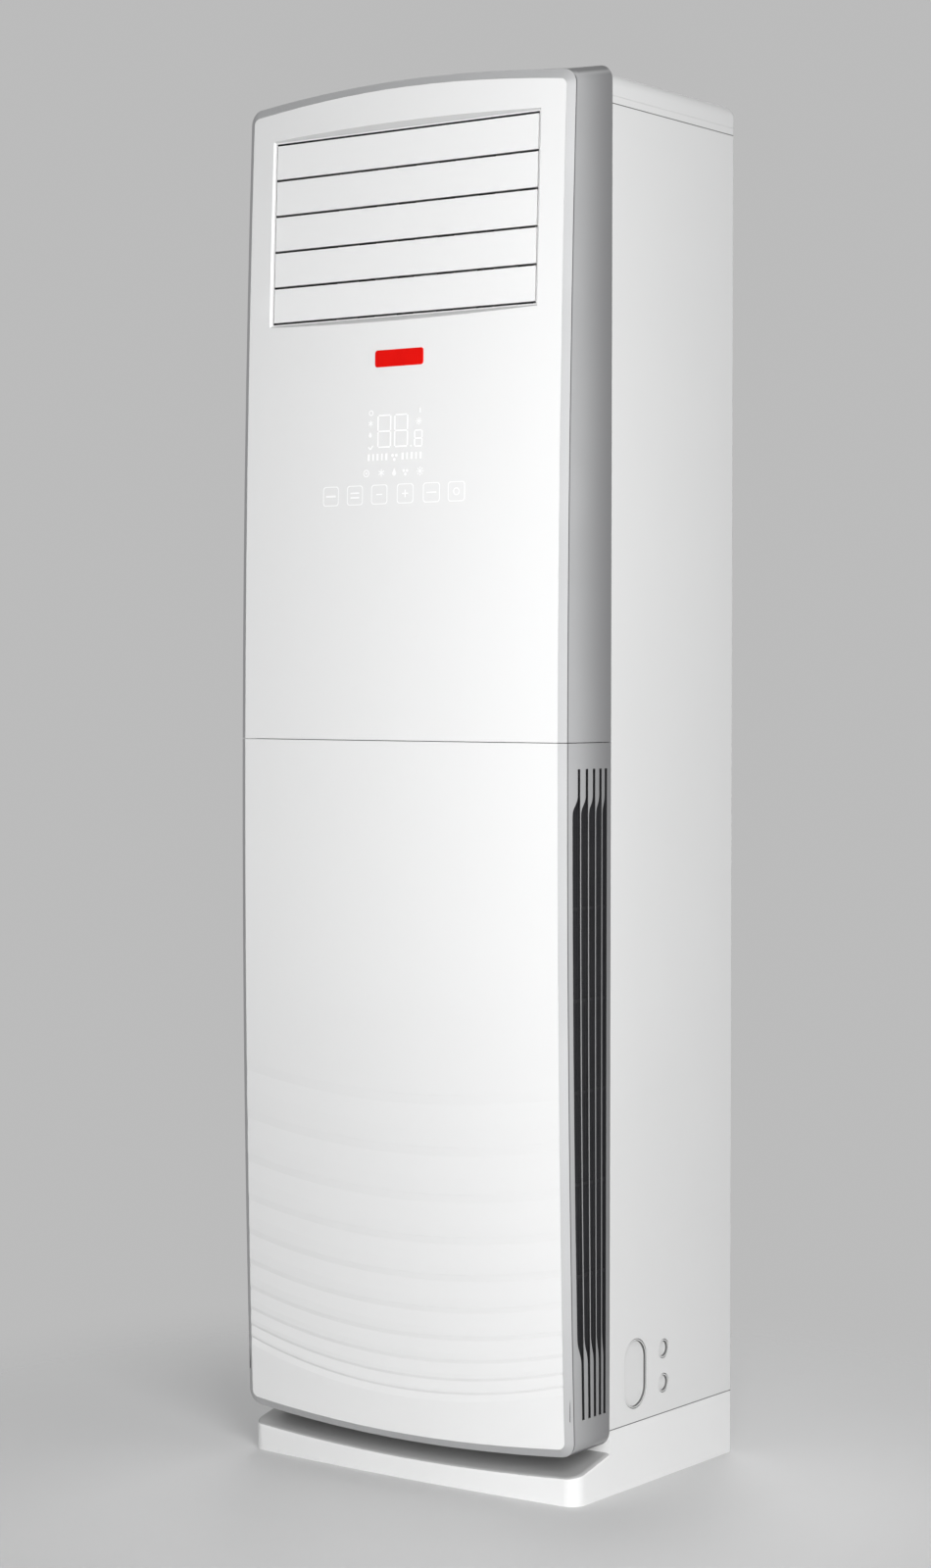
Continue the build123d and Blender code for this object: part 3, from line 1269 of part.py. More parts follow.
with BuildPart() as scroll_housing:
    with BuildSketch(at_y(SCROLL_Y)):
        add(scroll_outline(SCROLL_WALL + DUCT_FLANGE))
    extrude(amount=-SCROLL_WALL)
    with BuildSketch(at_y(SCROLL_Y)):
        add(scroll_outline(SCROLL_WALL))
    extrude(amount=-(SCROLL_BACK_Y - SCROLL_Y))
    with BuildSketch(at_y(SCROLL_Y)):
        add(scroll_outline(0))
    extrude(amount=-(SCROLL_BACK_Y - SCROLL_Y - SCROLL_WALL), mode=Mode.SUBTRACT)
    with BuildSketch(at_y(SCROLL_BACK_Y)):
        with Locations(FAN_CENTRE):
            Circle(2 * WHEEL_HUB_RADIUS)
    extrude(amount=2 * SCROLL_WALL, mode=Mode.SUBTRACT)
    split(bisect_by=Plane.XY.offset(SHELF_HEIGHT - LAP_GAP), keep=Keep.BOTTOM)
finish(scroll_housing.part, "scroll_housing")

with BuildPart() as fan_partition:
    partition_rise = SHELF_HEIGHT - LAP_GAP - FRAME_LOW
    with BuildSketch(at_y(PARTITION_Y)):
        with Locations((0, FRAME_LOW + partition_rise / 2)):
            Rectangle(2 * SEAT_HALF, partition_rise)
        with Locations(FAN_CENTRE):
            Circle(INLET_THROAT + INLET_CURVE + INLET_WALL, mode=Mode.SUBTRACT)
    extrude(amount=-PARTITION)
finish(fan_partition.part, "fan_partition")

FAN_AXIS = Axis((FAN_X, 0, FAN_HEIGHT), (0, 1, 0))
FAN_PLANE = Plane((FAN_X, 0, FAN_HEIGHT), (1, 0, 0), (0, 0, 1))

with BuildPart() as inlet_ring:
    mouth_y = PARTITION_Y - LAP_GAP - INLET_WALL
    curve_r = INLET_THROAT + INLET_CURVE
    curve_y = mouth_y + INLET_CURVE
    bend = cos(radians(45))
    with BuildSketch(FAN_PLANE):
        with BuildLine():
            Line((INLET_FLANGE, mouth_y), (curve_r, mouth_y))
            ThreePointArc(
                (curve_r, mouth_y),
                (curve_r - INLET_CURVE * bend, curve_y - INLET_CURVE * bend),
                (INLET_THROAT, curve_y),
            )
            Line((INLET_THROAT, curve_y), (INLET_THROAT + INLET_WALL, curve_y))
            inner_curve = INLET_CURVE - INLET_WALL
            ThreePointArc(
                (INLET_THROAT + INLET_WALL, curve_y),
                (curve_r - inner_curve * bend, curve_y - inner_curve * bend),
                (curve_r, mouth_y + INLET_WALL),
            )
            Polyline(
                (curve_r, mouth_y + INLET_WALL),
                (INLET_FLANGE, mouth_y + INLET_WALL),
                (INLET_FLANGE, mouth_y),
            )
        make_face()
    revolve(axis=FAN_AXIS)
finish(inlet_ring.part, "inlet_ring")

# ---------------------------------------------------------------- fan wheel, shaft and motor
WHEEL_Y = FRAME_Y + WHEEL_FRONT
WHEEL_BACK_Y = WHEEL_Y + WHEEL_WIDTH
HUB_Y = WHEEL_BACK_Y - HUB_LENGTH
SHAFT_Y = HUB_Y - NUT_HEIGHT - 2 * WHEEL_PLATE
MOTOR_Y = SCROLL_BACK_Y + LAP_GAP + MOTOR_PLATE

with BuildPart() as fan_wheel:
    with BuildSketch(FAN_PLANE):
        with BuildLine():
            Polyline(
                (WHEEL_HUB_RADIUS, HUB_Y + WHEEL_PLATE),
                (WHEEL_HUB_RADIUS + WHEEL_DISH, WHEEL_BACK_Y),
                (WHEEL_RADIUS, WHEEL_BACK_Y),
                (WHEEL_RADIUS, WHEEL_BACK_Y - WHEEL_PLATE),
                (WHEEL_HUB_RADIUS + WHEEL_DISH, WHEEL_BACK_Y - WHEEL_PLATE),
                (WHEEL_HUB_RADIUS, HUB_Y - WHEEL_PLATE),
                close=True,
            )
        make_face()
    revolve(axis=FAN_AXIS)
    with BuildSketch(at_y(HUB_Y - WHEEL_PLATE)):
        with Locations(FAN_CENTRE):
            Circle(WHEEL_HUB_RADIUS + WHEEL_PLATE)
    extrude(amount=-HUB_LENGTH)
    with BuildSketch(at_y(WHEEL_Y)):
        with Locations(FAN_CENTRE):
            Circle(WHEEL_RADIUS)
            Circle(WHEEL_EYE, mode=Mode.SUBTRACT)
    extrude(amount=-WHEEL_PLATE)
    blade_rise = BLADE_RADIUS - sqrt(BLADE_RADIUS**2 - (BLADE_CHORD / 2) ** 2)
    with BuildSketch(mode=Mode.PRIVATE) as blade:
        with BuildLine():
            ThreePointArc(
                (WHEEL_EYE + 1, 0),
                (WHEEL_EYE + BLADE_CHORD / 2, -blade_rise),
                (WHEEL_RADIUS - 1, 0),
            )
        trace(line_width=BLADE_THICKNESS)
    with BuildSketch(at_y(WHEEL_Y)):
        with Locations(FAN_CENTRE):
            with PolarLocations(0, BLADE_COUNT):
                add(blade.sketch)
    extrude(amount=-(WHEEL_WIDTH - WHEEL_PLATE / 2))
    with BuildSketch(at_y(0)):
        with Locations(FAN_CENTRE):
            Circle(SHAFT_RADIUS + SHAFT_FIT)
    extrude(amount=2 * CABINET_DEPTH, both=True, mode=Mode.SUBTRACT)
finish(fan_wheel.part, "fan_wheel")

with BuildPart() as motor_shaft:
    with BuildSketch(at_y(SHAFT_Y)):
        with Locations(FAN_CENTRE):
            Circle(SHAFT_RADIUS)
    extrude(amount=-(MOTOR_Y + MOTOR_LENGTH / 2 - SHAFT_Y))
finish(motor_shaft.part, "motor_shaft")

with BuildPart() as fan_nut:
    with BuildSketch(at_y(HUB_Y - WHEEL_PLATE - LAP_GAP / 3)):
        with Locations(FAN_CENTRE):
            RegularPolygon(NUT_WIDTH / 2, 6, major_radius=False)
            Circle(SHAFT_RADIUS + SHAFT_FIT, mode=Mode.SUBTRACT)
    extrude(amount=NUT_HEIGHT)
finish(fan_nut.part, "fan_nut")

with BuildPart() as fan_motor:
    with BuildSketch(at_y(MOTOR_Y)):
        with Locations(FAN_CENTRE):
            Circle(MOTOR_RADIUS)
    extrude(amount=-MOTOR_LENGTH)
    fillet(fan_motor.edges().group_by(Axis.Y)[-1], MOTOR_EDGE)
    with BuildSketch(at_y(MOTOR_Y)):
        with Locations(FAN_CENTRE):
            Circle(WHEEL_HUB_RADIUS)
    extrude(amount=MOTOR_PLATE + SCROLL_WALL)
    with BuildSketch(at_y(MOTOR_Y + MOTOR_LENGTH / 3)):
        with Locations(FAN_CENTRE):
            Circle(MOTOR_RADIUS + MOTOR_PLATE)
            Circle(MOTOR_RADIUS - MOTOR_PLATE, mode=Mode.SUBTRACT)
    extrude(amount=-MOTOR_LENGTH / 3)
    with BuildSketch(at_y(MOTOR_Y + MOTOR_LENGTH / 2 + 1)):
        with Locations(FAN_CENTRE):
            Circle(SHAFT_RADIUS + SHAFT_FIT)
    extrude(amount=MOTOR_LENGTH, mode=Mode.SUBTRACT)
finish(fan_motor.part, "fan_motor")

with BuildPart() as motor_bracket:
    with BuildSketch(at_y(MOTOR_Y - MOTOR_PLATE)):
        with Locations(FAN_CENTRE):
            Circle(MOTOR_PLATE_RADIUS)
            with PolarLocations(MOTOR_PLATE_RADIUS, MOTOR_ARMS, start_angle=45):
                SlotOverall(2 * MOTOR_FOOT_WIDTH + MOTOR_ARM_REACH, MOTOR_FOOT_WIDTH)
            Circle(2 * WHEEL_HUB_RADIUS, mode=Mode.SUBTRACT)
            with PolarLocations(MOTOR_PLATE_RADIUS + MOTOR_FOOT_WIDTH, MOTOR_ARMS, start_angle=45):
                Circle(SCREW_RADIUS, mode=Mode.SUBTRACT)
    extrude(amount=-(MOTOR_PLATE - LAP_GAP / 3))
finish(motor_bracket.part, "motor_bracket")

# ---------------------------------------------------------------- evaporator
SLANT_UP = Vector(0, sin(radians(COIL_SLANT)), cos(radians(COIL_SLANT)))
SLANT_OUT = Vector(0, cos(radians(COIL_SLANT)), -sin(radians(COIL_SLANT)))
COIL_CENTRE = Vector(0, FRAME_Y + COIL_SETBACK, COIL_HEIGHT)
COIL_END = COIL_WIDTH / 2 + COIL_PLATE


def coil_end_plane(x):
    """Plane across the coil at x: its axes run up the slant and out of the rear face."""
    return Plane(COIL_CENTRE + Vector(x, 0, 0), SLANT_UP, (-1, 0, 0))


with BuildPart() as evaporator_coil:
    with BuildSketch(Plane(COIL_CENTRE - SLANT_UP * (COIL_LENGTH / 2), (1, 0, 0), SLANT_UP)):
        Rectangle(COIL_WIDTH, COIL_THICKNESS)
        groove_count = int(COIL_WIDTH / COIL_GROOVE_PITCH) - 1
        groove_rows = COIL_THICKNESS - COIL_GROOVE_DEPTH
        with GridLocations(COIL_GROOVE_PITCH, groove_rows, groove_count, 2):
            Rectangle(COIL_GROOVE, COIL_GROOVE_DEPTH + 0.01, mode=Mode.SUBTRACT)
    extrude(amount=COIL_LENGTH)
finish(evaporator_coil.part, "evaporator_coil")

with BuildPart() as coil_end_plates:
    for side in (-1, 1):
        with BuildSketch(coil_end_plane(side * (COIL_WIDTH / 2 + LAP_GAP / 3))):
            Rectangle(
                COIL_LENGTH + 2 * COIL_PLATE_MARGIN, COIL_THICKNESS + 2 * COIL_PLATE_MARGIN
            )
        extrude(amount=-side * (COIL_PLATE - LAP_GAP / 3))
finish(coil_end_plates.part, "coil_end_plates")

with BuildPart() as return_bends:
    for side in (-1, 1):
        for row in range(BEND_COUNT):
            along = (row - (BEND_COUNT - 1) / 2) * BEND_PITCH
            middle_point = COIL_CENTRE + SLANT_UP * along + Vector(side * COIL_END, 0, 0)
            with BuildSketch(Plane(middle_point, SLANT_UP, (side, 0, 0))):
                with Locations((BEND_RADIUS, 0)):
                    Circle(TUBE_RADIUS)
            bend_axis = Axis(middle_point, SLANT_OUT * side)
            revolve(axis=bend_axis, revolution_arc=180)
finish(return_bends.part, "return_bends")

COIL_LOW = (
    COIL_HEIGHT
    - (COIL_LENGTH / 2 + COIL_PLATE_MARGIN) * cos(radians(COIL_SLANT))
    - (COIL_THICKNESS / 2 + COIL_PLATE_MARGIN) * sin(radians(COIL_SLANT))
)
PAN_FLOOR = COIL_LOW - LAP_GAP
PAN_LEFT = -SEAT_HALF
PAN_RIGHT = GAS_X - GAS_RADIUS - PIPE_SIDE_GAP
PAN_MIDDLE = (PAN_LEFT + PAN_RIGHT) / 2
PAN_CENTRE_Y = FRAME_Y + PAN_FRONT + PAN_DEPTH / 2
SPOUT_HEIGHT = PAN_FLOOR + HOSE_RADIUS + 1
HOSE_Y = FRAME_Y + ROUND_SETBACK

with BuildPart() as drain_pan:
    with BuildSketch(Plane.XY.offset(PAN_FLOOR - PAN_WALL)):
        with Locations((PAN_MIDDLE, PAN_CENTRE_Y)):
            Rectangle(PAN_RIGHT - PAN_LEFT, PAN_DEPTH)
    extrude(amount=PAN_RISE)
    with BuildSketch(Plane.XY.offset(PAN_FLOOR)):
        with Locations((PAN_MIDDLE, PAN_CENTRE_Y)):
            Rectangle(PAN_RIGHT - PAN_LEFT - 2 * PAN_WALL, PAN_DEPTH - 2 * PAN_WALL)
    extrude(amount=PAN_RISE, mode=Mode.SUBTRACT)
    with BuildSketch(Plane.XY.offset(PAN_FLOOR)):
        with Locations((PAN_MIDDLE, FRAME_Y + PAN_FRONT + PAN_WALL / 2)):
            Rectangle(PAN_RIGHT - PAN_LEFT, PAN_WALL)
    extrude(amount=2 * PAN_RISE)
    with BuildSketch(at_x(PAN_RIGHT)):
        with Locations((HOSE_Y, SPOUT_HEIGHT)):
            Circle(HOSE_RADIUS - HOSE_WALL - PIN_FIT)
    extrude(amount=2 * HOSE_WALL)
    with BuildSketch(at_x(PAN_RIGHT - PAN_WALL)):
        with Locations((HOSE_Y, SPOUT_HEIGHT)):
            Circle(HOSE_RADIUS - 2 * HOSE_WALL)
    extrude(amount=2 * HOSE_RADIUS, mode=Mode.SUBTRACT)
finish(drain_pan.part, "drain_pan")


def build_pipe(y, radius, wall, points, turn):
    """Pipe along a rounded path in an upright plane at y."""
    with BuildPart() as pipe:
        with BuildLine(at_y(y)) as path:
            FilletPolyline(*points, radius=turn)
        with BuildSketch(Plane(path.line @ 0, z_dir=path.line % 0)):
            Circle(radius)
            Circle(radius - wall, mode=Mode.SUBTRACT)
        sweep()
    return pipe.part


HOSE_X = GAS_X
hose_points = [
    (PAN_RIGHT + LAP_GAP, SPOUT_HEIGHT),
    (HOSE_X, SPOUT_HEIGHT),
    (HOSE_X, ROUND_HEIGHTS[0]),
    (INNER_HALF - PLUG_WALL - 2 * HOSE_WALL, ROUND_HEIGHTS[0]),
]
hose = build_pipe(HOSE_Y, HOSE_RADIUS, HOSE_WALL, hose_points, HOSE_BEND)
finish(hose, "drain_hose")

GAS_Y = HOSE_Y - GAS_HOSE_PITCH
PIPE_ROWS = (
    ("gas_pipe", GAS_RADIUS, GAS_Y, PIPE_END),
    ("liquid_pipe", LIQUID_RADIUS, GAS_Y - LIQUID_PITCH, PIPE_END + 2 * NUT_LENGTH),
)


def pipe_joint(y):
    """Place where a pipe at y leaves the middle plane of the slanted coil."""
    return COIL_CENTRE + SLANT_UP * ((y - COIL_CENTRE.Y) / SLANT_UP.Y)


for pipe_name, pipe_radius, pipe_y, pipe_end in PIPE_ROWS:
    joint = pipe_joint(pipe_y)
    pipe_points = [(GAS_X, pipe_end), (GAS_X, joint.Z), (COIL_END + LAP_GAP, joint.Z)]
    finish(build_pipe(joint.Y, pipe_radius, PIPE_WALL, pipe_points, PIPE_BEND), pipe_name)

with BuildPart() as flare_nuts:
    for pipe_name, pipe_radius, pipe_y, pipe_end in PIPE_ROWS:
        with BuildSketch(Plane.XY.offset(pipe_end)):
            with Locations((GAS_X, pipe_y)):
                RegularPolygon(pipe_radius + NUT_WALL, 6, major_radius=False)
                Circle(pipe_radius + SHAFT_FIT, mode=Mode.SUBTRACT)
        extrude(amount=NUT_LENGTH)
finish(flare_nuts.part, "flare_nuts")

# ---------------------------------------------------------------- divider shelf and air guide
SHELF_REAR_Y = REAR_Y - 4 * SHEET - BEAD_DEPTH

with BuildPart() as divider_shelf:
    scroll_middle = (SCROLL_LEFT + SCROLL_RIGHT) / 2
    with BuildSketch(Plane.XY.offset(SHELF_HEIGHT)):
        with Locations((0, (PARTITION_Y + SHELF_REAR_Y) / 2)):
            Rectangle(2 * SEAT_HALF, SHELF_REAR_Y - PARTITION_Y)
        with Locations((scroll_middle, (SCROLL_Y + SCROLL_BACK_Y - SCROLL_WALL) / 2)):
            Rectangle(
                SCROLL_RIGHT - SCROLL_LEFT,
                SCROLL_BACK_Y - SCROLL_WALL - SCROLL_Y,
                mode=Mode.SUBTRACT,
            )
        with Locations((GAS_X, (COIL_CENTRE.Y + HOSE_Y) / 2 - PAN_DEPTH / 3)):
            Rectangle(3 * HOSE_RADIUS, PAN_DEPTH, mode=Mode.SUBTRACT)
    extrude(amount=PARTITION)
finish(divider_shelf.part, "divider_shelf")

GUIDE_LOW = SHELF_HEIGHT + PARTITION + LAP_GAP
duct_reach = (PARTITION_Y - OUTLET_Y) / cos(radians(LEAN))
WINDOW_HEIGHT = OUTLET_HEIGHT - duct_reach * sin(radians(LEAN))

with BuildPart() as air_guide:
    guide_rise = FRAME_HIGH - GUIDE_LOW
    with BuildSketch(at_y(PARTITION_Y)):
        with Locations((0, GUIDE_LOW + guide_rise / 2)):
            Rectangle(2 * SEAT_HALF, guide_rise)
    extrude(amount=-GUIDE_RETURN)
    with BuildSketch(at_y(PARTITION_Y + SHEET)):
        with Locations((0, GUIDE_LOW + guide_rise / 2)):
            Rectangle(2 * (SEAT_HALF - SHEET), guide_rise)
    extrude(amount=-GUIDE_RETURN, mode=Mode.SUBTRACT)
    with BuildSketch(at_y(PARTITION_Y)):
        with Locations((0, WINDOW_HEIGHT)):
            Rectangle(2 * WALL_IN, 2 * DUCT_HALF_RISE)
    extrude(amount=-GUIDE_RETURN, mode=Mode.SUBTRACT)
finish(air_guide.part, "air_guide")

# ---------------------------------------------------------------- electrics
BOX_MIDDLE = ((BOX_LEFT + BOX_RIGHT) / 2, (BOX_BOTTOM + BOX_TOP) / 2)
BOX_WIDTH = BOX_RIGHT - BOX_LEFT
BOX_RISE = BOX_TOP - BOX_BOTTOM
BOX_Y = PARTITION_Y - LAP_GAP

with BuildPart() as control_box:
    with BuildSketch(at_y(BOX_Y)):
        with Locations(BOX_MIDDLE):
            Rectangle(BOX_WIDTH, BOX_RISE)
    extrude(amount=BOX_DEPTH)
    with BuildSketch(at_y(BOX_Y - SHEET)):
        with Locations(BOX_MIDDLE):
            Rectangle(BOX_WIDTH - 2 * SHEET, BOX_RISE - 2 * SHEET)
    extrude(amount=BOX_DEPTH, mode=Mode.SUBTRACT)
finish(control_box.part, "control_box")

with BuildPart() as control_box_cover:
    lid_y = BOX_Y - BOX_DEPTH - LAP_GAP
    with BuildSketch(at_y(lid_y)):
        with Locations(BOX_MIDDLE):
            Rectangle(BOX_WIDTH, BOX_RISE)
    extrude(amount=SHEET)
    with BuildSketch(at_y(lid_y)):
        with Locations(BOX_MIDDLE):
            Rectangle(BOX_WIDTH - 2 * (SHEET + LAP_GAP), BOX_RISE - 2 * (SHEET + LAP_GAP))
            Rectangle(BOX_WIDTH - 4 * SHEET, BOX_RISE - 4 * SHEET, mode=Mode.SUBTRACT)
    extrude(amount=-LAP)
finish(control_box_cover.part, "control_box_cover")

with BuildPart() as control_board:
    board_y = BOX_Y - SHEET - LAP_GAP
    board_width = BOX_WIDTH - 2 * LAP
    board_rise = BOX_RISE - 2 * LAP
    with BuildSketch(at_y(board_y - BOARD_STANDOFF)):
        with Locations(BOX_MIDDLE):
            RectangleRounded(board_width, board_rise, 3)
    extrude(amount=BOARD_THICKNESS)
    with BuildSketch(at_y(board_y)):
        with Locations(BOX_MIDDLE):
            with GridLocations(board_width - LAP, board_rise - LAP, 2, 2):
                Circle(CATCH_RADIUS)
    extrude(amount=BOARD_STANDOFF)
    with BuildSketch(at_y(board_y - BOARD_STANDOFF)):
        with Locations(BOX_MIDDLE):
            with GridLocations(board_width / 5, board_rise / 3, 5, 2):
                Rectangle(board_width / 9, board_rise / 6)
    extrude(amount=BOARD_STANDOFF + BOARD_PARTS)
finish(control_board.part, "control_board")

with BuildPart() as terminal_block:
    with BuildSketch(at_y(BOX_Y)):
        with Locations((TERMINAL_X, BOX_MIDDLE[1])):
            RectangleRounded(TERMINAL_WIDTH, TERMINAL_RISE, 2)
    extrude(amount=TERMINAL_DEPTH)
    with BuildSketch(at_y(BOX_Y - TERMINAL_DEPTH)):
        with Locations((TERMINAL_X, BOX_MIDDLE[1])):
            with GridLocations(TERMINAL_WIDTH / TERMINAL_COUNT, 0, TERMINAL_COUNT, 1):
                Rectangle(
                    TERMINAL_WIDTH / TERMINAL_COUNT - TERMINAL_RIB,
                    TERMINAL_RISE - 2 * TERMINAL_EDGE,
                )
    extrude(amount=-TERMINAL_DEPTH / 3, mode=Mode.SUBTRACT)
    with BuildSketch(at_y(BOX_Y - TERMINAL_DEPTH * 2 / 3)):
        with Locations((TERMINAL_X, BOX_MIDDLE[1])):
            with GridLocations(TERMINAL_WIDTH / TERMINAL_COUNT, 0, TERMINAL_COUNT, 1):
                Circle(TERMINAL_RISE / 8)
    extrude(amount=TERMINAL_DEPTH / 5)
finish(terminal_block.part, "terminal_block")
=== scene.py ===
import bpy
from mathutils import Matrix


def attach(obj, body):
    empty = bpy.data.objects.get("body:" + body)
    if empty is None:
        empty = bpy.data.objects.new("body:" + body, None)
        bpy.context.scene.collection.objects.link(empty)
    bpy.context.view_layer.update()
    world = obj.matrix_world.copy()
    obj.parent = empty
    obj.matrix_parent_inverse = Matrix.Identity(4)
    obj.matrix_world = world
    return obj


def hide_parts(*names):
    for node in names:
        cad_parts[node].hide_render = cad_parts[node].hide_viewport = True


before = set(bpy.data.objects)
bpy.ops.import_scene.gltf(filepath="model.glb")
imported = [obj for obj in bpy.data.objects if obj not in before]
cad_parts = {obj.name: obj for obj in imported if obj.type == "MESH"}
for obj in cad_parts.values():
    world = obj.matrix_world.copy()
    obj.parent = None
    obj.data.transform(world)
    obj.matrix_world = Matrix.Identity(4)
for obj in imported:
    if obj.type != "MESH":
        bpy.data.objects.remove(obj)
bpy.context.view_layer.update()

import logging
import math
from dataclasses import dataclass
from enum import Enum
from typing import Callable, Iterable, Sequence

import bmesh
import bpy
from mathutils import Vector

LOG = logging.getLogger("floor_standing_air_conditioner")
MM = 0.001
MERGE_REACH = 1e-6
Colour = tuple[float, float, float]
Point2 = tuple[float, float]
Span = tuple[float, float]
Face = tuple[int, ...]
Socket = bpy.types.NodeSocket
Sources = bpy.types.NodeOutputs
Input = float | int | tuple | bpy.types.NodeSocket | bpy.types.Material


# ------------------------------------------------------------------ shared shapes of the object
@dataclass(frozen=True)
class BowedFace:
    """The covers' front face: bowed in height and slightly bulged in plan. Millimetres."""

    front_y: float = -208.95
    bow_radius: float = 21000.0
    bow_height: float = 980.0
    plan_radius: float = 4054.5

    def y_at(self, x: float, z: float) -> float:
        """Y of the face at a place in front view.

        Args:
            x: place across.
            z: height.

        Returns:
            Y of the face.
        """
        plan = self.front_y + self.plan_radius - math.sqrt(self.plan_radius**2 - x**2)
        centre = self.front_y + self.bow_radius
        return centre - math.sqrt((centre - plan) ** 2 - (z - self.bow_height) ** 2)

    def point(self, x: float, z: float, lift: float) -> Vector:
        """Point in metres at a distance out of the face."""
        return Vector((x, self.y_at(x, z) - lift, z)) * MM


FACE = BowedFace()


# ------------------------------------------------------------------ node trees
class Along(Enum):
    """Direction of the object that a place is measured in."""

    X = 0
    Y = 1
    Z = 2


class NodeTree:
    """Short hand for adding linked nodes to a tree."""

    def __init__(self, tree: bpy.types.NodeTree) -> None:
        """Keep the tree to fill."""
        self.tree = tree

    def link(self, source: Socket, target: Socket) -> None:
        """Join an output to an input."""
        self.tree.links.new(source, target)

    def feed(self, node: bpy.types.Node, name: str | int, value: Input) -> None:
        """Set or link one input.

        Args:
            node: node with the input.
            name: the input's name or number.
            value: plain value or output socket.
        """
        socket = node.inputs[name]
        if isinstance(value, Socket):
            self.link(value, socket)
        elif isinstance(value, tuple) and socket.type == "RGBA":
            socket.default_value = (*value, 1.0)
        else:
            socket.default_value = value

    def add(self, kind: str, **inputs: Input) -> bpy.types.Node:
        """Add a node and set or link its inputs by name.

        Args:
            kind: node type.
            inputs: values or sockets, with underscores for spaces.

        Returns:
            The node.
        """
        node = self.tree.nodes.new(kind)
        for name, value in inputs.items():
            self.feed(node, name.replace("_", " "), value)
        return node

    def maths(self, operation: str, first: Input, second: Input = 0.0) -> Socket:
        """Maths node with two inputs.

        Args:
            operation: Blender's name of the operation.
            first: value or socket.
            second: value or socket.

        Returns:
            The result's socket.
        """
        node = self.add("ShaderNodeMath")
        node.operation = operation
        self.feed(node, 0, first)
        self.feed(node, 1, second)
        return node.outputs[0]

    def times(self, first: Input, *others: Input) -> Socket:
        """Product of values or sockets.

        Args:
            first: value or socket.
            others: values or sockets.

        Returns:
            The product's socket.
        """
        for other in others:
            first = self.maths("MULTIPLY", first, other)
        return first


class ShaderTree(NodeTree):
    """Short hand for a shader tree."""

    MIX_INPUTS = (0, 6, 7)
    MIX_RESULT = 2

    def find(self, kind: str) -> bpy.types.Node:
        """First node of a type."""
        return next(node for node in self.tree.nodes if node.bl_idname == kind)

    def place(self) -> Socket:
        """Place on the object."""
        return self.add("ShaderNodeTexCoord").outputs["Object"]

    def part(self, output: str, along: Along) -> Socket:
        """One part of the object's place, "Object", or of its normal, "Normal"."""
        source = self.add("ShaderNodeTexCoord").outputs[output]
        return self.add("ShaderNodeSeparateXYZ", Vector=source).outputs[along.value]

    def facing(self, along: Along) -> Socket:
        """How far the surface looks along a direction, either way, from 0 to 1."""
        return self.maths("ABSOLUTE", self.part("Normal", along))

    def ramp(self, value: Input, start: Input, end: Input) -> Socket:
        """Smooth step from 0 at start to 1 at end.

        Args:
            value: value or socket to step.
            start: where it begins.
            end: where it ends.

        Returns:
            The step's socket.
        """
        node = self.add("ShaderNodeMapRange", Value=value, From_Min=start, From_Max=end)
        node.interpolation_type = "SMOOTHSTEP"
        return node.outputs["Result"]

    def mix(self, factor: Input, first: Input, second: Input) -> Socket:
        """Mix of two colours.

        Args:
            factor: 0 gives the first, 1 the second.
            first: colour or socket.
            second: colour or socket.

        Returns:
            The mixed colour's socket.
        """
        node = self.add("ShaderNodeMix")
        node.data_type = "RGBA"
        for number, value in zip(self.MIX_INPUTS, (factor, first, second)):
            self.feed(node, number, value)
        return node.outputs[self.MIX_RESULT]

    def show(self, factor: Socket, first: bpy.types.Node, second: bpy.types.Node,
             output: bpy.types.Node) -> None:
        """Send a mix of two shaders to the tree's output.

        Args:
            factor: 0 gives the first, 1 the second.
            first: shader node.
            second: shader node.
            output: output node.
        """
        blend = self.add("ShaderNodeMixShader", Fac=factor)
        self.link(first.outputs[0], blend.inputs[1])
        self.link(second.outputs[0], blend.inputs[2])
        self.link(blend.outputs[0], output.inputs[0])


# ------------------------------------------------------------------ shader node groups
class Effect(Enum):
    """Surface effects that several finishes share."""

    RELIEF = "fine_relief"
    TONE = "tone_variation"
    SPECKLE = "flake_speckle"
    STRIPES = "fine_stripes"
    GAP = "gap_shade"


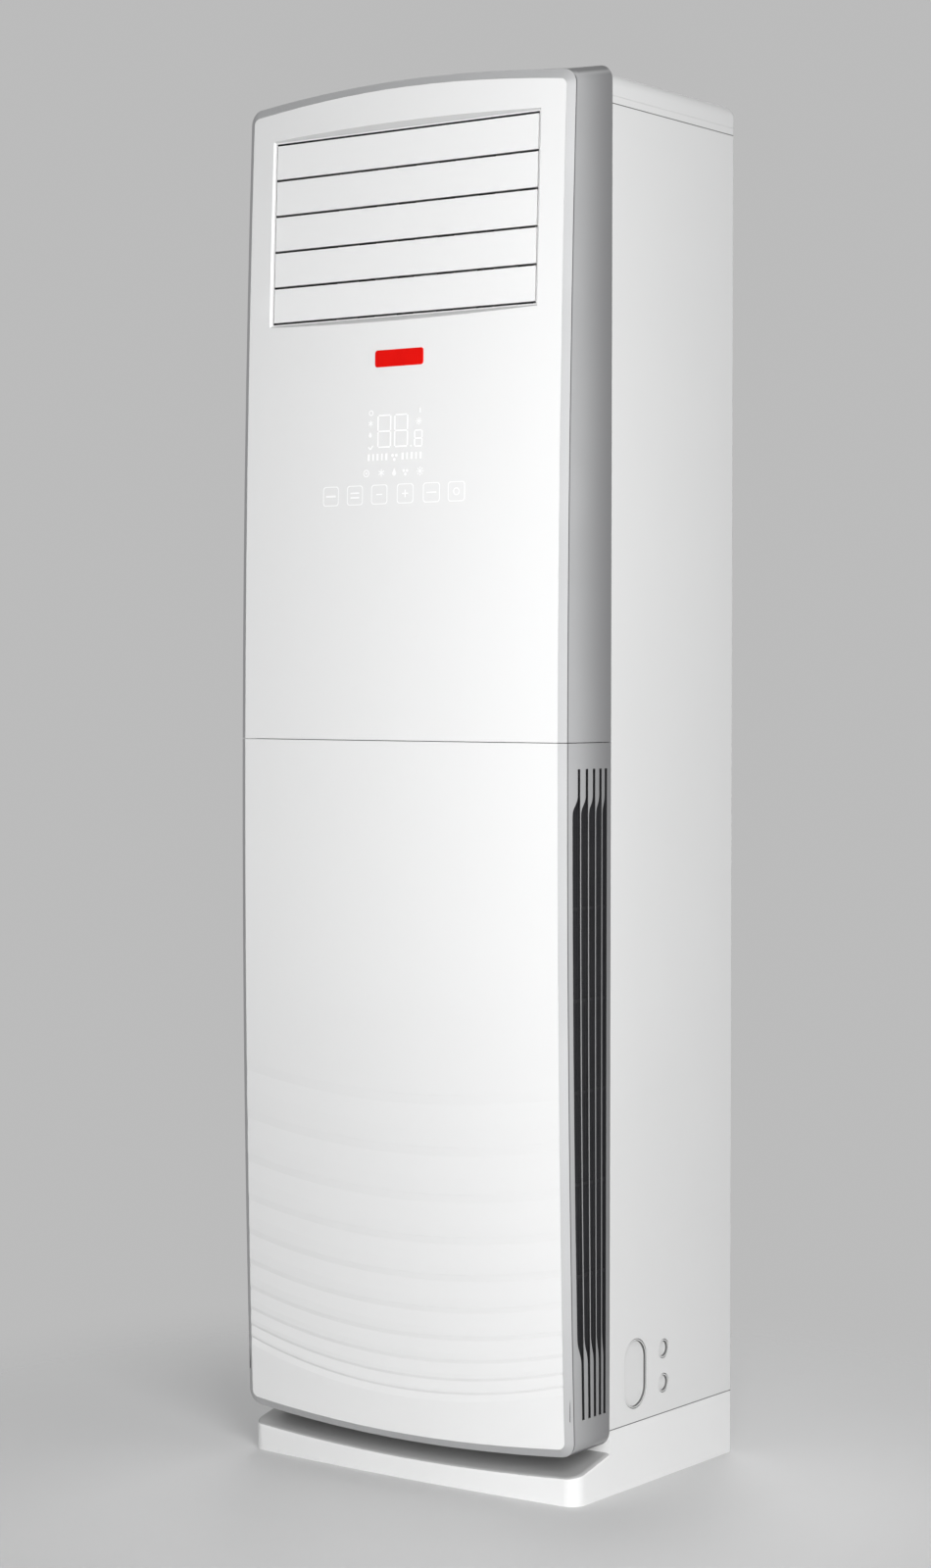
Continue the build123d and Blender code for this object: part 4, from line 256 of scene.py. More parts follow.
class EffectShelf:
    """Builds each shared effect group once."""

    COARSE_SCALE = 0.23
    COARSE_DETAIL = 1.0
    COARSE_SHARE = 0.6
    TONE_DETAIL = 5.0
    TONE_MIDDLE = 0.5
    STRIPE_WAVER = 0.2

    def __init__(self) -> None:
        """Build all the groups."""
        self.groups: dict[Effect, bpy.types.NodeTree] = {}
        self._group(Effect.RELIEF, "Height", self._relief, {"Scale": 400.0, "Detail": 3.0})
        self._group(Effect.TONE, "Mask", self._tone, {"Scale": 5.0, "Contrast": 1.6})
        self._group(Effect.SPECKLE, "Mask", self._speckle, {"Scale": 900.0})
        self._group(Effect.STRIPES, "Mask", self._stripes, {"Scale": 120.0})
        self._group(Effect.GAP, "Mask", self._gap,
                    {"Place": 0.0, "Level": 0.0, "Core": 0.0004, "Reach": 0.001})

    def _group(self, effect: Effect, output: str, fill: Callable[[ShaderTree, Sources], Socket],
               inputs: dict[str, float]) -> None:
        """Make one group.

        Args:
            effect: effect that the group gives.
            output: name of its output.
            fill: adds the effect's nodes and returns their result.
            inputs: names and first values of its inputs.
        """
        group = bpy.data.node_groups.new(effect.value, "ShaderNodeTree")
        for name, value in inputs.items():
            socket = group.interface.new_socket(name, in_out="INPUT", socket_type="NodeSocketFloat")
            socket.default_value = value
        group.interface.new_socket(output, in_out="OUTPUT", socket_type="NodeSocketFloat")
        tree = ShaderTree(group)
        target = tree.add("NodeGroupOutput")
        tree.feed(target, 0, fill(tree, tree.add("NodeGroupInput").outputs))
        self.groups[effect] = group

    def _relief(self, tree: ShaderTree, source: Sources) -> Socket:
        """Height of a fine skin, such as orange peel or moulded grain.

        Args:
            tree: the group's tree.
            source: the group's inputs.

        Returns:
            The height's socket.
        """
        place = tree.place()
        noise = tree.add("ShaderNodeTexNoise", Vector=place, Scale=source["Scale"],
                         Detail=source["Detail"])
        coarse = tree.add("ShaderNodeTexNoise", Vector=place, Detail=self.COARSE_DETAIL,
                          Scale=tree.times(source["Scale"], self.COARSE_SCALE))
        share = tree.times(coarse.outputs["Fac"], self.COARSE_SHARE)
        return tree.maths("ADD", noise.outputs["Fac"], share)

    def _tone(self, tree: ShaderTree, source: Sources) -> Socket:
        """Slow mask from 0 to 1 for shade and gloss that vary over a panel.

        Args:
            tree: the group's tree.
            source: the group's inputs.

        Returns:
            The mask's socket.
        """
        noise = tree.add("ShaderNodeTexNoise", Vector=tree.place(), Scale=source["Scale"],
                         Detail=self.TONE_DETAIL)
        centred = tree.maths("SUBTRACT", noise.outputs["Fac"], self.TONE_MIDDLE)
        stretched = tree.maths("ADD", tree.times(centred, source["Contrast"]), self.TONE_MIDDLE)
        return tree.add("ShaderNodeClamp", Value=stretched).outputs[0]

    def _speckle(self, tree: ShaderTree, source: Sources) -> Socket:
        """Mask of small flakes, for metallic paint and spangle."""
        cells = tree.add("ShaderNodeTexVoronoi", Vector=tree.place(), Scale=source["Scale"])
        return tree.add("ShaderNodeRGBToBW", Color=cells.outputs["Color"]).outputs[0]

    def _stripes(self, tree: ShaderTree, source: Sources) -> Socket:
        """Mask of parallel lines across X, for fins and brushed metal."""
        return tree.add("ShaderNodeTexWave", Vector=tree.place(), Scale=source["Scale"],
                        Distortion=self.STRIPE_WAVER).outputs["Fac"]

    def _gap(self, tree: ShaderTree, source: Sources) -> Socket:
        """Mask of a dark line along a level, soft at both sides: joint lines where two pieces meet,
        and painted shade in a crease or on a dish wall.
        """
        apart = tree.maths("ABSOLUTE", tree.maths("SUBTRACT", source["Place"], source["Level"]))
        return tree.ramp(apart, source["Reach"], source["Core"])

    def use(self, tree: ShaderTree, effect: Effect, **values: Input) -> Socket:
        """Place an effect in a material.

        Args:
            tree: the material's tree.
            effect: effect to place.
            values: its inputs.

        Returns:
            Its output socket.
        """
        node = tree.add("ShaderNodeGroup")
        node.node_tree = self.groups[effect]
        for name, value in values.items():
            tree.feed(node, name, value)
        return node.outputs[0]


# ------------------------------------------------------------------ finishes
@dataclass(frozen=True)
class Gap:
    """Dark line of a finish along a level: a joint line where two pieces meet, and also painted
    shade, as on a dish wall. Metres.
    """

    along: Along
    level: float
    core: float = 0.0003
    reach: float = 0.0009
    colour: Colour = (0.10, 0.10, 0.10)
    mirrored: bool = False

    def draw(self, tree: ShaderTree, shelf: EffectShelf, colour: Socket) -> Socket:
        """Draw the line over a colour.

        Args:
            tree: the material's tree.
            shelf: the shared effects.
            colour: colour beside the line.

        Returns:
            The new colour's socket.
        """
        place = tree.part("Object", self.along)
        if self.mirrored:
            place = tree.maths("ABSOLUTE", place)
        mask = shelf.use(tree, Effect.GAP, Place=place, Level=self.level, Core=self.core,
                         Reach=self.reach)
        return tree.mix(mask, colour, self.colour)


@dataclass(frozen=True)
class Finish:
    """A procedural finish: colour and gloss with slow variation and a fine relief."""

    name: str
    colour: Colour
    shade: Colour
    roughness: float
    roughness_swing: float = 0.06
    metallic: float = 0.0
    coat: float = 0.0
    coat_roughness: float = 0.08
    specular: float = 0.5
    relief_scale: float = 500.0
    relief: float = 0.02
    relief_distance: float = 0.0002
    tone_scale: float = 5.0
    tone_contrast: float = 1.8
    speckle_scale: float = 0.0
    speckle: float = 0.0
    stripe_scale: float = 0.0
    stripes: float = 0.0
    glow: float = 0.0
    # painted shade: share by which the faces that look up are darkened
    painted_top_shade: float = 0.0
    top_span: Span = (0.35, 0.6)
    # painted shade: share by which the faces that look up or down are darkened
    painted_edge_shade: float = 0.0
    edge_span: Span = (0.6, 0.9)
    # painted shade: share by which edges close to another piece are darkened, as in the slits
    # between closed slats
    painted_slit_shade: float = 0.0
    slit_reach: float = 0.004
    slit_span: Span = (0.9, 0.5)
    slit_samples: int = 8
    gaps: tuple[Gap, ...] = ()

    def _darker(self, share: float) -> Colour:
        """The finish's colour, darker by a share."""
        return tuple(part * (1.0 - share) for part in self.colour)

    def _edges(self, tree: ShaderTree) -> Socket:
        """Mask of the surfaces that look up or down."""
        return tree.ramp(tree.facing(Along.Z), *self.edge_span)

    def _painted_slit_mask(self, tree: ShaderTree) -> Socket:
        """Mask of painted shade on the edges that lie close to another piece, read from ambient
        occlusion.

        Args:
            tree: the material's tree.

        Returns:
            The mask's socket.
        """
        near = tree.add("ShaderNodeAmbientOcclusion", Distance=self.slit_reach)
        near.samples = self.slit_samples
        return tree.times(self._edges(tree), tree.ramp(near.outputs["AO"], *self.slit_span))

    def _colour(self, tree: ShaderTree, shelf: EffectShelf, tone: Socket) -> Socket:
        """Colour with its variation, flakes, lines, painted shades and gap lines.

        Args:
            tree: the material's tree.
            shelf: the shared effects.
            tone: mask of the slow variation.

        Returns:
            The colour's socket.
        """
        colour = tree.mix(tone, self.colour, self.shade)
        if self.speckle > 0:
            flakes = shelf.use(tree, Effect.SPECKLE, Scale=self.speckle_scale)
            colour = tree.mix(tree.times(flakes, self.speckle), colour, self.shade)
        if self.stripes > 0:
            lines = shelf.use(tree, Effect.STRIPES, Scale=self.stripe_scale)
            colour = tree.mix(tree.times(lines, self.stripes), colour, self.shade)
        # painted shade on the faces that look up
        if self.painted_top_shade > 0:
            painted_top_mask = tree.ramp(tree.part("Normal", Along.Z), *self.top_span)
            colour = tree.mix(painted_top_mask, colour, self._darker(self.painted_top_shade))
        # painted shade on the faces that look up or down
        if self.painted_edge_shade > 0:
            colour = tree.mix(self._edges(tree), colour, self._darker(self.painted_edge_shade))
        # painted shade in the slits, where another piece lies close
        if self.painted_slit_shade > 0:
            colour = tree.mix(self._painted_slit_mask(tree), colour, self._darker(self.painted_slit_shade))
        for gap in self.gaps:
            colour = gap.draw(tree, shelf, colour)
        return colour

    def _normal(self, tree: ShaderTree, shelf: EffectShelf) -> Socket:
        """Normal with the fine relief.

        Args:
            tree: the material's tree.
            shelf: the shared effects.

        Returns:
            The normal's socket.
        """
        height = shelf.use(tree, Effect.RELIEF, Scale=self.relief_scale)
        return tree.add("ShaderNodeBump", Height=height, Strength=self.relief,
                        Distance=self.relief_distance).outputs[0]

    def build(self, shelf: EffectShelf) -> bpy.types.Material:
        """Make the material.

        Args:
            shelf: the shared effects.

        Returns:
            The material.
        """
        material = bpy.data.materials.new(self.name)
        material.use_nodes = True
        material.node_tree.nodes.clear()
        tree = ShaderTree(material.node_tree)
        output = tree.add("ShaderNodeOutputMaterial")
        tone = shelf.use(tree, Effect.TONE, Scale=self.tone_scale, Contrast=self.tone_contrast)
        colour = self._colour(tree, shelf, tone)
        swing = tree.times(tone, self.roughness_swing)
        shader = tree.add(
            "ShaderNodeBsdfPrincipled", Base_Color=colour, Metallic=self.metallic,
            Roughness=tree.maths("ADD", swing, self.roughness), Normal=self._normal(tree, shelf),
            Coat_Weight=self.coat, Coat_Roughness=self.coat_roughness,
            Specular_IOR_Level=self.specular,
        )
        if self.glow > 0:
            tree.feed(shader, "Emission Color", colour)
            tree.feed(shader, "Emission Strength", self.glow)
        tree.link(shader.outputs[0], output.inputs[0])
        return material


@dataclass(frozen=True)
class ShadedCrownedSilver(Finish):
    """Silver paint whose side bands look crowned by a bump, with painted shade to the rear of the
    bands, on faces that look up or down, in the crease beside the rim and on the walls of the dark
    slots.
    """

    band_facing: Span = (0.75, 0.95)
    # painted shade: the bands darken towards the rear over this depth
    rear_shade_depth: Span = (-0.192, -0.091)
    rear_shade_colour: Colour = (0.26, 0.26, 0.265)
    # painted shade: colour of the faces that look up or down
    level_span: Span = (0.52, 0.85)
    level_shade_colour: Colour = (0.19, 0.191, 0.194)
    crease_side: float = 0.27
    # painted shade: dark line in the crease between rim and band
    crease_depth: float = 0.0059
    crease_core: float = 0.0012
    crease_reach: float = 0.0034
    crease_shade_colour: Colour = (0.13, 0.13, 0.135)
    # painted shade: the slot walls between these depths are darkened
    wall_front: float = 0.0095
    wall_rear: float = -0.0985
    wall_soft: float = 0.0015
    wall_facing: Span = (0.85, 0.55)
    slot_wall_shade_colour: Colour = (0.040, 0.040, 0.042)
    crown_middle: float = -0.150
    crown: float = 1.8

    def _crease_place(self, tree: ShaderTree) -> Socket:
        """Distance behind the crease between rim and band, which is bowed in height.

        Args:
            tree: the material's tree.

        Returns:
            The distance's socket.
        """
        plan_radius = FACE.plan_radius * MM
        plan = plan_radius - math.sqrt(plan_radius**2 - self.crease_side**2)
        radius = FACE.bow_radius * MM - plan
        up = tree.maths("SUBTRACT", tree.part("Object", Along.Z), FACE.bow_height * MM)
        bow = tree.maths("DIVIDE", tree.times(up, up), 2 * radius)
        front = tree.maths("ADD", bow, FACE.front_y * MM + plan + self.crease_depth)
        return tree.maths("SUBTRACT", tree.part("Object", Along.Y), front)

    def _colour(self, tree: ShaderTree, shelf: EffectShelf, tone: Socket) -> Socket:
        """Silver with painted shade: darker to the rear of the bands, on faces that look up or down,
        in the crease and on the slot walls.

        Args:
            tree: the material's tree.
            shelf: the shared effects.
            tone: mask of the slow variation.

        Returns:
            The colour's socket.
        """
        colour = super()._colour(tree, shelf, tone)
        sideways, level = tree.facing(Along.X), tree.facing(Along.Z)
        depth = tree.part("Object", Along.Y)
        band = tree.ramp(sideways, *self.band_facing)
        # painted shade darkening the bands towards the rear
        rear_shade_mask = tree.times(band, tree.ramp(depth, *self.rear_shade_depth))
        colour = tree.mix(rear_shade_mask, colour, self.rear_shade_colour)
        # painted shade on the faces that look up or down
        colour = tree.mix(tree.ramp(level, *self.level_span), colour, self.level_shade_colour)
        behind = self._crease_place(tree)
        # painted shade in the crease between rim and band
        line = shelf.use(tree, Effect.GAP, Place=behind, Level=0.0, Core=self.crease_core,
                         Reach=self.crease_reach)
        colour = tree.mix(tree.times(line, band), colour, self.crease_shade_colour)
        # painted shade on the slot walls
        slot_wall_shade = tree.times(
            tree.ramp(behind, self.wall_front, self.wall_front + self.wall_soft),
            tree.ramp(depth, self.wall_rear + self.wall_soft, self.wall_rear),
            tree.ramp(sideways, *self.wall_facing),
            tree.ramp(level, *self.wall_facing),
        )
        return tree.mix(slot_wall_shade, colour, self.slot_wall_shade_colour)

    def _normal(self, tree: ShaderTree, shelf: EffectShelf) -> Socket:
        """Fine relief over the crown of the bands.

        Args:
            tree: the material's tree.
            shelf: the shared effects.

        Returns:
            The normal's socket.
        """
        fine = super()._normal(tree, shelf)
        off = tree.maths("SUBTRACT", tree.part("Object", Along.Y), self.crown_middle)
        fall = tree.times(off, off, -self.crown)
        return tree.add("ShaderNodeBump", Height=fall, Strength=1.0, Distance=1.0,
                        Normal=fine).outputs[0]


FOOT_SEAM = Gap(Along.Z, 0.0850)
CAP_SEAM = Gap(Along.Z, 1.8082)
# painted shade on the walls of the outlet dishes
DISH_WALL_SHADE = Gap(Along.X, 0.26765, 0.0013, 0.0017, (0.11, 0.11, 0.11), mirrored=True)

FINISHES: tuple[Finish, ...] = (
    # gloss_white: painted shade on its faces that look up or down, such as the outlet's bevels
    Finish("gloss_white", (0.835, 0.835, 0.833), (0.827, 0.827, 0.825), 0.26, coat=0.2,
           roughness_swing=0.015, relief_scale=260.0, relief=0.03, tone_scale=2.0,
           painted_edge_shade=0.45),
    # louvre_white: painted shade in the slits between the closed slats
    Finish("louvre_white", (0.87, 0.87, 0.868), (0.86, 0.86, 0.858), 0.30, coat=0.1,
           roughness_swing=0.02, relief_scale=300.0, relief=0.03, tone_scale=4.0,
           painted_slit_shade=0.95),
    # silver_paint: painted shade to the rear, on faces that look up or down, in the crease and on
    # the slot walls
    ShadedCrownedSilver("silver_paint", (0.515, 0.517, 0.522), (0.43, 0.432, 0.437), 0.42,
                  metallic=0.2, relief_scale=900.0, relief=0.03, speckle_scale=1800.0,
                  speckle=0.35),
    Finish("powder_coat", (0.765, 0.765, 0.762), (0.725, 0.725, 0.722), 0.46,
           relief_scale=700.0, relief=0.14, tone_scale=2.5, gaps=(FOOT_SEAM, CAP_SEAM)),
    # base_plastic: painted shade on the foot's faces that look up, and the gap line of the foot's
    # seam
    Finish("base_plastic", (0.85, 0.85, 0.847), (0.81, 0.81, 0.807), 0.42,
           relief_scale=1300.0, relief=0.10, painted_top_shade=0.52, gaps=(FOOT_SEAM,)),
    # plug_plastic: painted shade on its dish walls
    Finish("plug_plastic", (0.73, 0.73, 0.727), (0.71, 0.71, 0.707), 0.45,
           relief_scale=1300.0, relief=0.15, tone_scale=20.0, gaps=(DISH_WALL_SHADE,)),
    Finish("duct_plastic", (0.030, 0.030, 0.032), (0.022, 0.022, 0.024), 0.55,
           relief_scale=900.0, relief=0.12),
    Finish("guide_foam", (0.10, 0.10, 0.105), (0.075, 0.075, 0.08), 0.85, specular=0.25,
           relief_scale=500.0, relief=0.5, relief_distance=0.0006, tone_scale=30.0),
    Finish("vane_plastic", (0.055, 0.056, 0.06), (0.04, 0.041, 0.044), 0.45,
           relief_scale=900.0, relief=0.10, tone_scale=12.0),
    Finish("natural_plastic", (0.74, 0.73, 0.69), (0.68, 0.67, 0.62), 0.4,
           relief_scale=900.0, relief=0.08, tone_scale=30.0),
    Finish("filter_black", (0.016, 0.016, 0.018), (0.011, 0.011, 0.013), 0.55,
           relief_scale=1200.0, relief=0.2, tone_scale=25.0),
    Finish("net_grey", (0.022, 0.022, 0.025), (0.015, 0.015, 0.017), 0.6, specular=0.3,
           relief_scale=1200.0, relief=0.1, tone_scale=25.0),
    Finish("galvanised", (0.55, 0.57, 0.58), (0.42, 0.44, 0.46), 0.38, metallic=0.9,
           relief_scale=60.0, relief=0.08, speckle_scale=90.0, speckle=0.8, tone_scale=9.0),
    Finish("bright_steel", (0.60, 0.60, 0.60), (0.48, 0.48, 0.49), 0.25, metallic=1.0,
           relief_scale=300.0, relief=0.05, tone_scale=40.0, stripe_scale=300.0, stripes=0.3),
    Finish("fan_plastic", (0.060, 0.064, 0.068), (0.042, 0.045, 0.048), 0.42,
           relief_scale=900.0, relief=0.1, tone_scale=9.0),
    Finish("scroll_plastic", (0.30, 0.31, 0.32), (0.25, 0.26, 0.27), 0.5,
           relief_scale=900.0, relief=0.12, tone_scale=8.0),
    Finish("motor_black", (0.022, 0.022, 0.025), (0.035, 0.035, 0.038), 0.4,
           relief_scale=800.0, relief=0.2, tone_scale=18.0),
    Finish("aluminium_fins", (0.66, 0.68, 0.70), (0.50, 0.52, 0.54), 0.34, metallic=0.9,
           relief_scale=300.0, relief=0.05, tone_scale=14.0),
    Finish("copper", (0.66, 0.31, 0.18), (0.40, 0.19, 0.12), 0.3, metallic=1.0,
           relief_scale=120.0, relief=0.08, tone_scale=16.0),
    Finish("brass", (0.68, 0.50, 0.22), (0.50, 0.36, 0.15), 0.28, metallic=1.0,
           relief_scale=200.0, relief=0.06, tone_scale=40.0),
    Finish("pan_plastic", (0.55, 0.55, 0.53), (0.48, 0.48, 0.46), 0.5,
           relief_scale=700.0, relief=0.12, tone_scale=10.0),
    Finish("board_green", (0.02, 0.11, 0.05), (0.015, 0.08, 0.035), 0.35, coat=0.4,
           relief_scale=300.0, relief=0.1, tone_scale=40.0, speckle_scale=220.0, speckle=0.6),
    Finish("display_light", (0.93, 0.93, 0.93), (0.88, 0.88, 0.88), 0.3,
           tone_scale=60.0, relief=0.01, glow=0.12),
    Finish("badge_red", (0.82, 0.006, 0.003), (0.76, 0.005, 0.003), 0.4, specular=0.05,
           relief_scale=400.0, relief=0.02, tone_scale=40.0),
)

NODE_FINISH: dict[str, tuple[str, ...]] = {
    "gloss_white": ("upper_front_panel", "lower_front_panel"),
    "louvre_white": tuple(f"louvre_{n}" for n in range(1, 6)),
    "silver_paint": ("upper_trim_frame", "lower_trim_frame"),
    "powder_coat": ("left_side_panel", "right_side_panel", "rear_panel", "top_cover"),
    "base_plastic": ("base",),
    "plug_plastic": ("left_pipe_cover", "right_pipe_cover", "hole_plugs"),
    "duct_plastic": ("outlet_duct",),
    "guide_foam": ("air_guide",),
    "scroll_plastic": ("scroll_housing", "inlet_ring"),
    "vane_plastic": tuple(f"vane_{n}" for n in range(1, 7)) + ("louvre_link", "vane_link"),
    "natural_plastic": ("louvre_bushes", "catch_sockets", "cover_catches"),
    "filter_black": ("left_filter", "right_filter"),
    "galvanised": ("front_frame", "fan_partition", "divider_shelf", "motor_bracket",
                   "control_box", "control_box_cover", "coil_end_plates"),
    "bright_steel": ("motor_shaft", "fan_nut", "cabinet_screws"),
    "fan_plastic": ("fan_wheel", "terminal_block"),
    "motor_black": ("fan_motor", "louvre_motor", "vane_motor"),
    "aluminium_fins": ("evaporator_coil",),
    "copper": ("return_bends", "gas_pipe", "liquid_pipe"),
    "brass": ("flare_nuts",),
    "pan_plastic": ("drain_pan", "drain_hose"),
    "board_green": ("display_board", "touch_board", "control_board"),
}


class Wardrobe:
    """All the finishes, and the dressing of the carried-over solids."""

    def __init__(self, shelf: EffectShelf) -> None:
        """Build every finish."""
        self.materials = {finish.name: finish.build(shelf) for finish in FINISHES}

    def dress_nodes(self) -> None:
        """Give every carried-over solid its finish."""
        for finish, nodes in NODE_FINISH.items():
            for node in nodes:
                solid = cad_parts[node]
                for place in solid.material_slots:
                    place.link = "DATA"
                    place.material = self.materials[finish]
                LOG.info("dressed %s in %s", node, finish)


def mesh_object(name: str, verts: Iterable[Sequence[float]], faces: Sequence[Face],
                material: bpy.types.Material, merge: bool = False) -> bpy.types.Object:
    """Make an object from points and faces, with its normals outwards.

    Args:
        name: name of the piece.
        verts: points in metres.
        faces: corner numbers of each face.
        material: finish of the piece.
        merge: whether points in the same place become one.

    Returns:
        The object.
    """
    mesh = bpy.data.meshes.new(name)
    mesh.from_pydata([tuple(v) for v in verts], [], faces)
    work = bmesh.new()
    work.from_mesh(mesh)
    if merge:
        bmesh.ops.remove_doubles(work, verts=work.verts, dist=MERGE_REACH)
    bmesh.ops.recalc_face_normals(work, faces=work.faces)
    work.to_mesh(mesh)
    work.free()
    mesh.materials.append(material)
    piece = bpy.data.objects.new(name, mesh)
    bpy.context.scene.collection.objects.link(piece)
    return piece


def join_rings(verts: list[Vector], faces: list[Face], rings: Sequence[Sequence[Vector]]) -> None:
    """Add a closed shell over rings of points, with a cap at each end.

    Args:
        verts: points to add to.
        faces: faces to add to.
        rings: rings of equal length.
    """
    first, count = len(verts), len(rings[0])
    last = first + (len(rings) - 1) * count
    for ring in rings:
        verts.extend(ring)
    for low in range(first, last, count):
        high = low + count
        for n in range(count):
            after = (n + 1) % count
            faces.append((low + n, low + after, high + after, high + n))
    faces.append(tuple(first + n for n in reversed(range(count))))
    faces.append(tuple(last + n for n in range(count)))


def around(centre: Point2, radius: float, angle: float) -> Point2:
    """Point at an angle round a middle."""
    return centre[0] + radius * math.cos(angle), centre[1] + radius * math.sin(angle)


def ring_of(centre: Point2, radius: float, count: int) -> list[Point2]:
    """Corners of a circle."""
    return [around(centre, radius, 2 * math.pi / count * n) for n in range(count)]


def rounded(centre: Point2, width: float, rise: float, radius: float,
            steps: int = 6) -> list[Point2]:
    """Corners of a rounded rectangle.

    Args:
        centre: its middle.
        width: width.
        rise: height.
        radius: corner radius.
        steps: divisions of each corner.

    Returns:
        The corners in order.
    """
    corners: list[Point2] = []
    for quarter, (across, up) in enumerate(((1, 1), (-1, 1), (-1, -1), (1, -1))):
        middle = (centre[0] + across * (width / 2 - radius), centre[1] + up * (rise / 2 - radius))
        corners += [around(middle, radius, math.pi / 2 * (quarter + n / steps))
                    for n in range(steps + 1)]
    return corners


class RibbonMesh:
    """Collects flat shapes that lie on the bowed face."""

    def __init__(self, lift: float, sink: float) -> None:
        """Start empty.

        Args:
            lift: top of the shapes over the face, in mm.
            sink: foot of the shapes under the face, in mm.
        """
        self.lift = lift
        self.sink = sink
        self.verts: list[Vector] = []
        self.faces: list[Face] = []

    def outline(self, corners: Sequence[Point2]) -> None:
        """Add a closed flat shape as a thin plate.

        Args:
            corners: its corners in front view, in mm.
        """
        first = len(self.verts)
        count = len(corners)
        for level in (self.lift, -self.sink):
            self.verts += [FACE.point(x, z, level) for x, z in corners]
        self.faces.append(tuple(first + n for n in range(count)))
        self.faces.append(tuple(first + count + n for n in reversed(range(count))))
        for n in range(count):
            after = (n + 1) % count
            self.faces.append((first + n, first + count + n, first + count + after, first + after))

    def stroke(self, start: Point2, end: Point2, width: float) -> None:
        """Add one straight stroke.

        Args:
            start: one end.
            end: the other end.
            width: width of the stroke.
        """
        along = Vector((end[0] - start[0], end[1] - start[1])).normalized()
        side = Vector((-along.y, along.x)) * (width / 2)
        a, b = Vector(start), Vector(end)
        corners = [a + side, a - side, b - side, b + side]
        self.outline([(c.x, c.y) for c in corners])

    def loop(self, corners: Sequence[Point2], width: float) -> None:
        """Add a closed line.

        Args:
            corners: its corners.
            width: width of the line.
        """
        centre = Vector((sum(c[0] for c in corners), sum(c[1] for c in corners))) / len(corners)
        for n, corner in enumerate(corners):
            after = corners[(n + 1) % len(corners)]
            quad = []
            for place, sign in ((corner, -1), (after, -1), (after, 1), (corner, 1)):
                out = (Vector(place) - centre).normalized() * (width / 2 * sign)
                quad.append((place[0] + out.x, place[1] + out.y))
            self.outline(quad)

    def piece(self, name: str, material: bpy.types.Material) -> bpy.types.Object:
        """Make the object."""
        return mesh_object(name, self.verts, self.faces, material)


# ------------------------------------------------------------------ display and touch keys
class Sign(Enum):
    """Plain signs of the display."""

    DOT = "dot"
    DROP = "drop"
    FAN = "fan"
    RING = "ring"
    SNOW = "snow"
    SUN = "sun"


@dataclass(frozen=True)
class Mark:
    """One sign in its place. Millimetres."""

    sign: Sign
    centre: Point2
    size: float
    sides: int = 12


@dataclass(frozen=True)
class SignPen:
    """Draws the signs. Lengths are shares of a sign's size, apart from the line in millimetres."""

    line: float = 1.2
    snow_arms: int = 3
    sun_disc: float = 0.45
    sun_gap: float = 0.65
    sun_rays: int = 8
    fan_blades: int = 3
    fan_reach: float = 0.6
    fan_blade: float = 0.36
    fan_blade_sides: int = 10
    fan_turn: float = 0.5
    drop_belly: float = 0.62
    drop_low: float = 0.25
    drop_steps: int = 8
    drop_span: Span = (1.1, -0.1)

    def _snow(self, shape: RibbonMesh, mark: Mark) -> None:
        """Crossed strokes.

        Args:
            shape: mesh to add to.
            mark: place and size.
        """
        for n in range(self.snow_arms):
            angle = math.pi * (n / self.snow_arms + 0.5)
            shape.stroke(around(mark.centre, -mark.size, angle),
                         around(mark.centre, mark.size, angle), self.line)

    def _sun(self, shape: RibbonMesh, mark: Mark) -> None:
        """Disc with rays.

        Args:
            shape: mesh to add to.
            mark: place and size.
        """
        shape.outline(ring_of(mark.centre, mark.size * self.sun_disc, mark.sides))
        for n in range(self.sun_rays):
            angle = 2 * math.pi / self.sun_rays * n
            shape.stroke(around(mark.centre, mark.size * self.sun_gap, angle),
                         around(mark.centre, mark.size, angle), self.line)

    def _fan(self, shape: RibbonMesh, mark: Mark) -> None:
        """Three round blades.

        Args:
            shape: mesh to add to.
            mark: place and size.
        """
        for n in range(self.fan_blades):
            angle = 2 * math.pi / self.fan_blades * n + self.fan_turn
            tip = around(mark.centre, mark.size * self.fan_reach, angle)
            shape.outline(ring_of(tip, mark.size * self.fan_blade, self.fan_blade_sides))

    def _drop(self, shape: RibbonMesh, mark: Mark) -> None:
        """Water drop, from its tip round its belly.

        Args:
            shape: mesh to add to.
            mark: place and size.
        """
        x, z = mark.centre
        start, end = self.drop_span
        middle = (x, z - mark.size * self.drop_low)
        angles = [math.pi * (start + (end - start) * n / self.drop_steps)
                  for n in range(self.drop_steps + 1)]
        belly = [around(middle, mark.size * self.drop_belly, -angle) for angle in angles]
        shape.outline([(x, z + mark.size), *belly])

    def draw(self, shape: RibbonMesh, mark: Mark) -> None:
        """Draw one sign.

        Args:
            shape: mesh to add to.
            mark: sign, place and size.
        """
        if mark.sign is Sign.DOT:
            shape.outline(ring_of(mark.centre, mark.size, mark.sides))
        elif mark.sign is Sign.RING:
            shape.loop(ring_of(mark.centre, mark.size, mark.sides), self.line)
        else:
            pens = {Sign.DROP: self._drop, Sign.FAN: self._fan, Sign.SNOW: self._snow,
                    Sign.SUN: self._sun}
            pens[mark.sign](shape, mark)


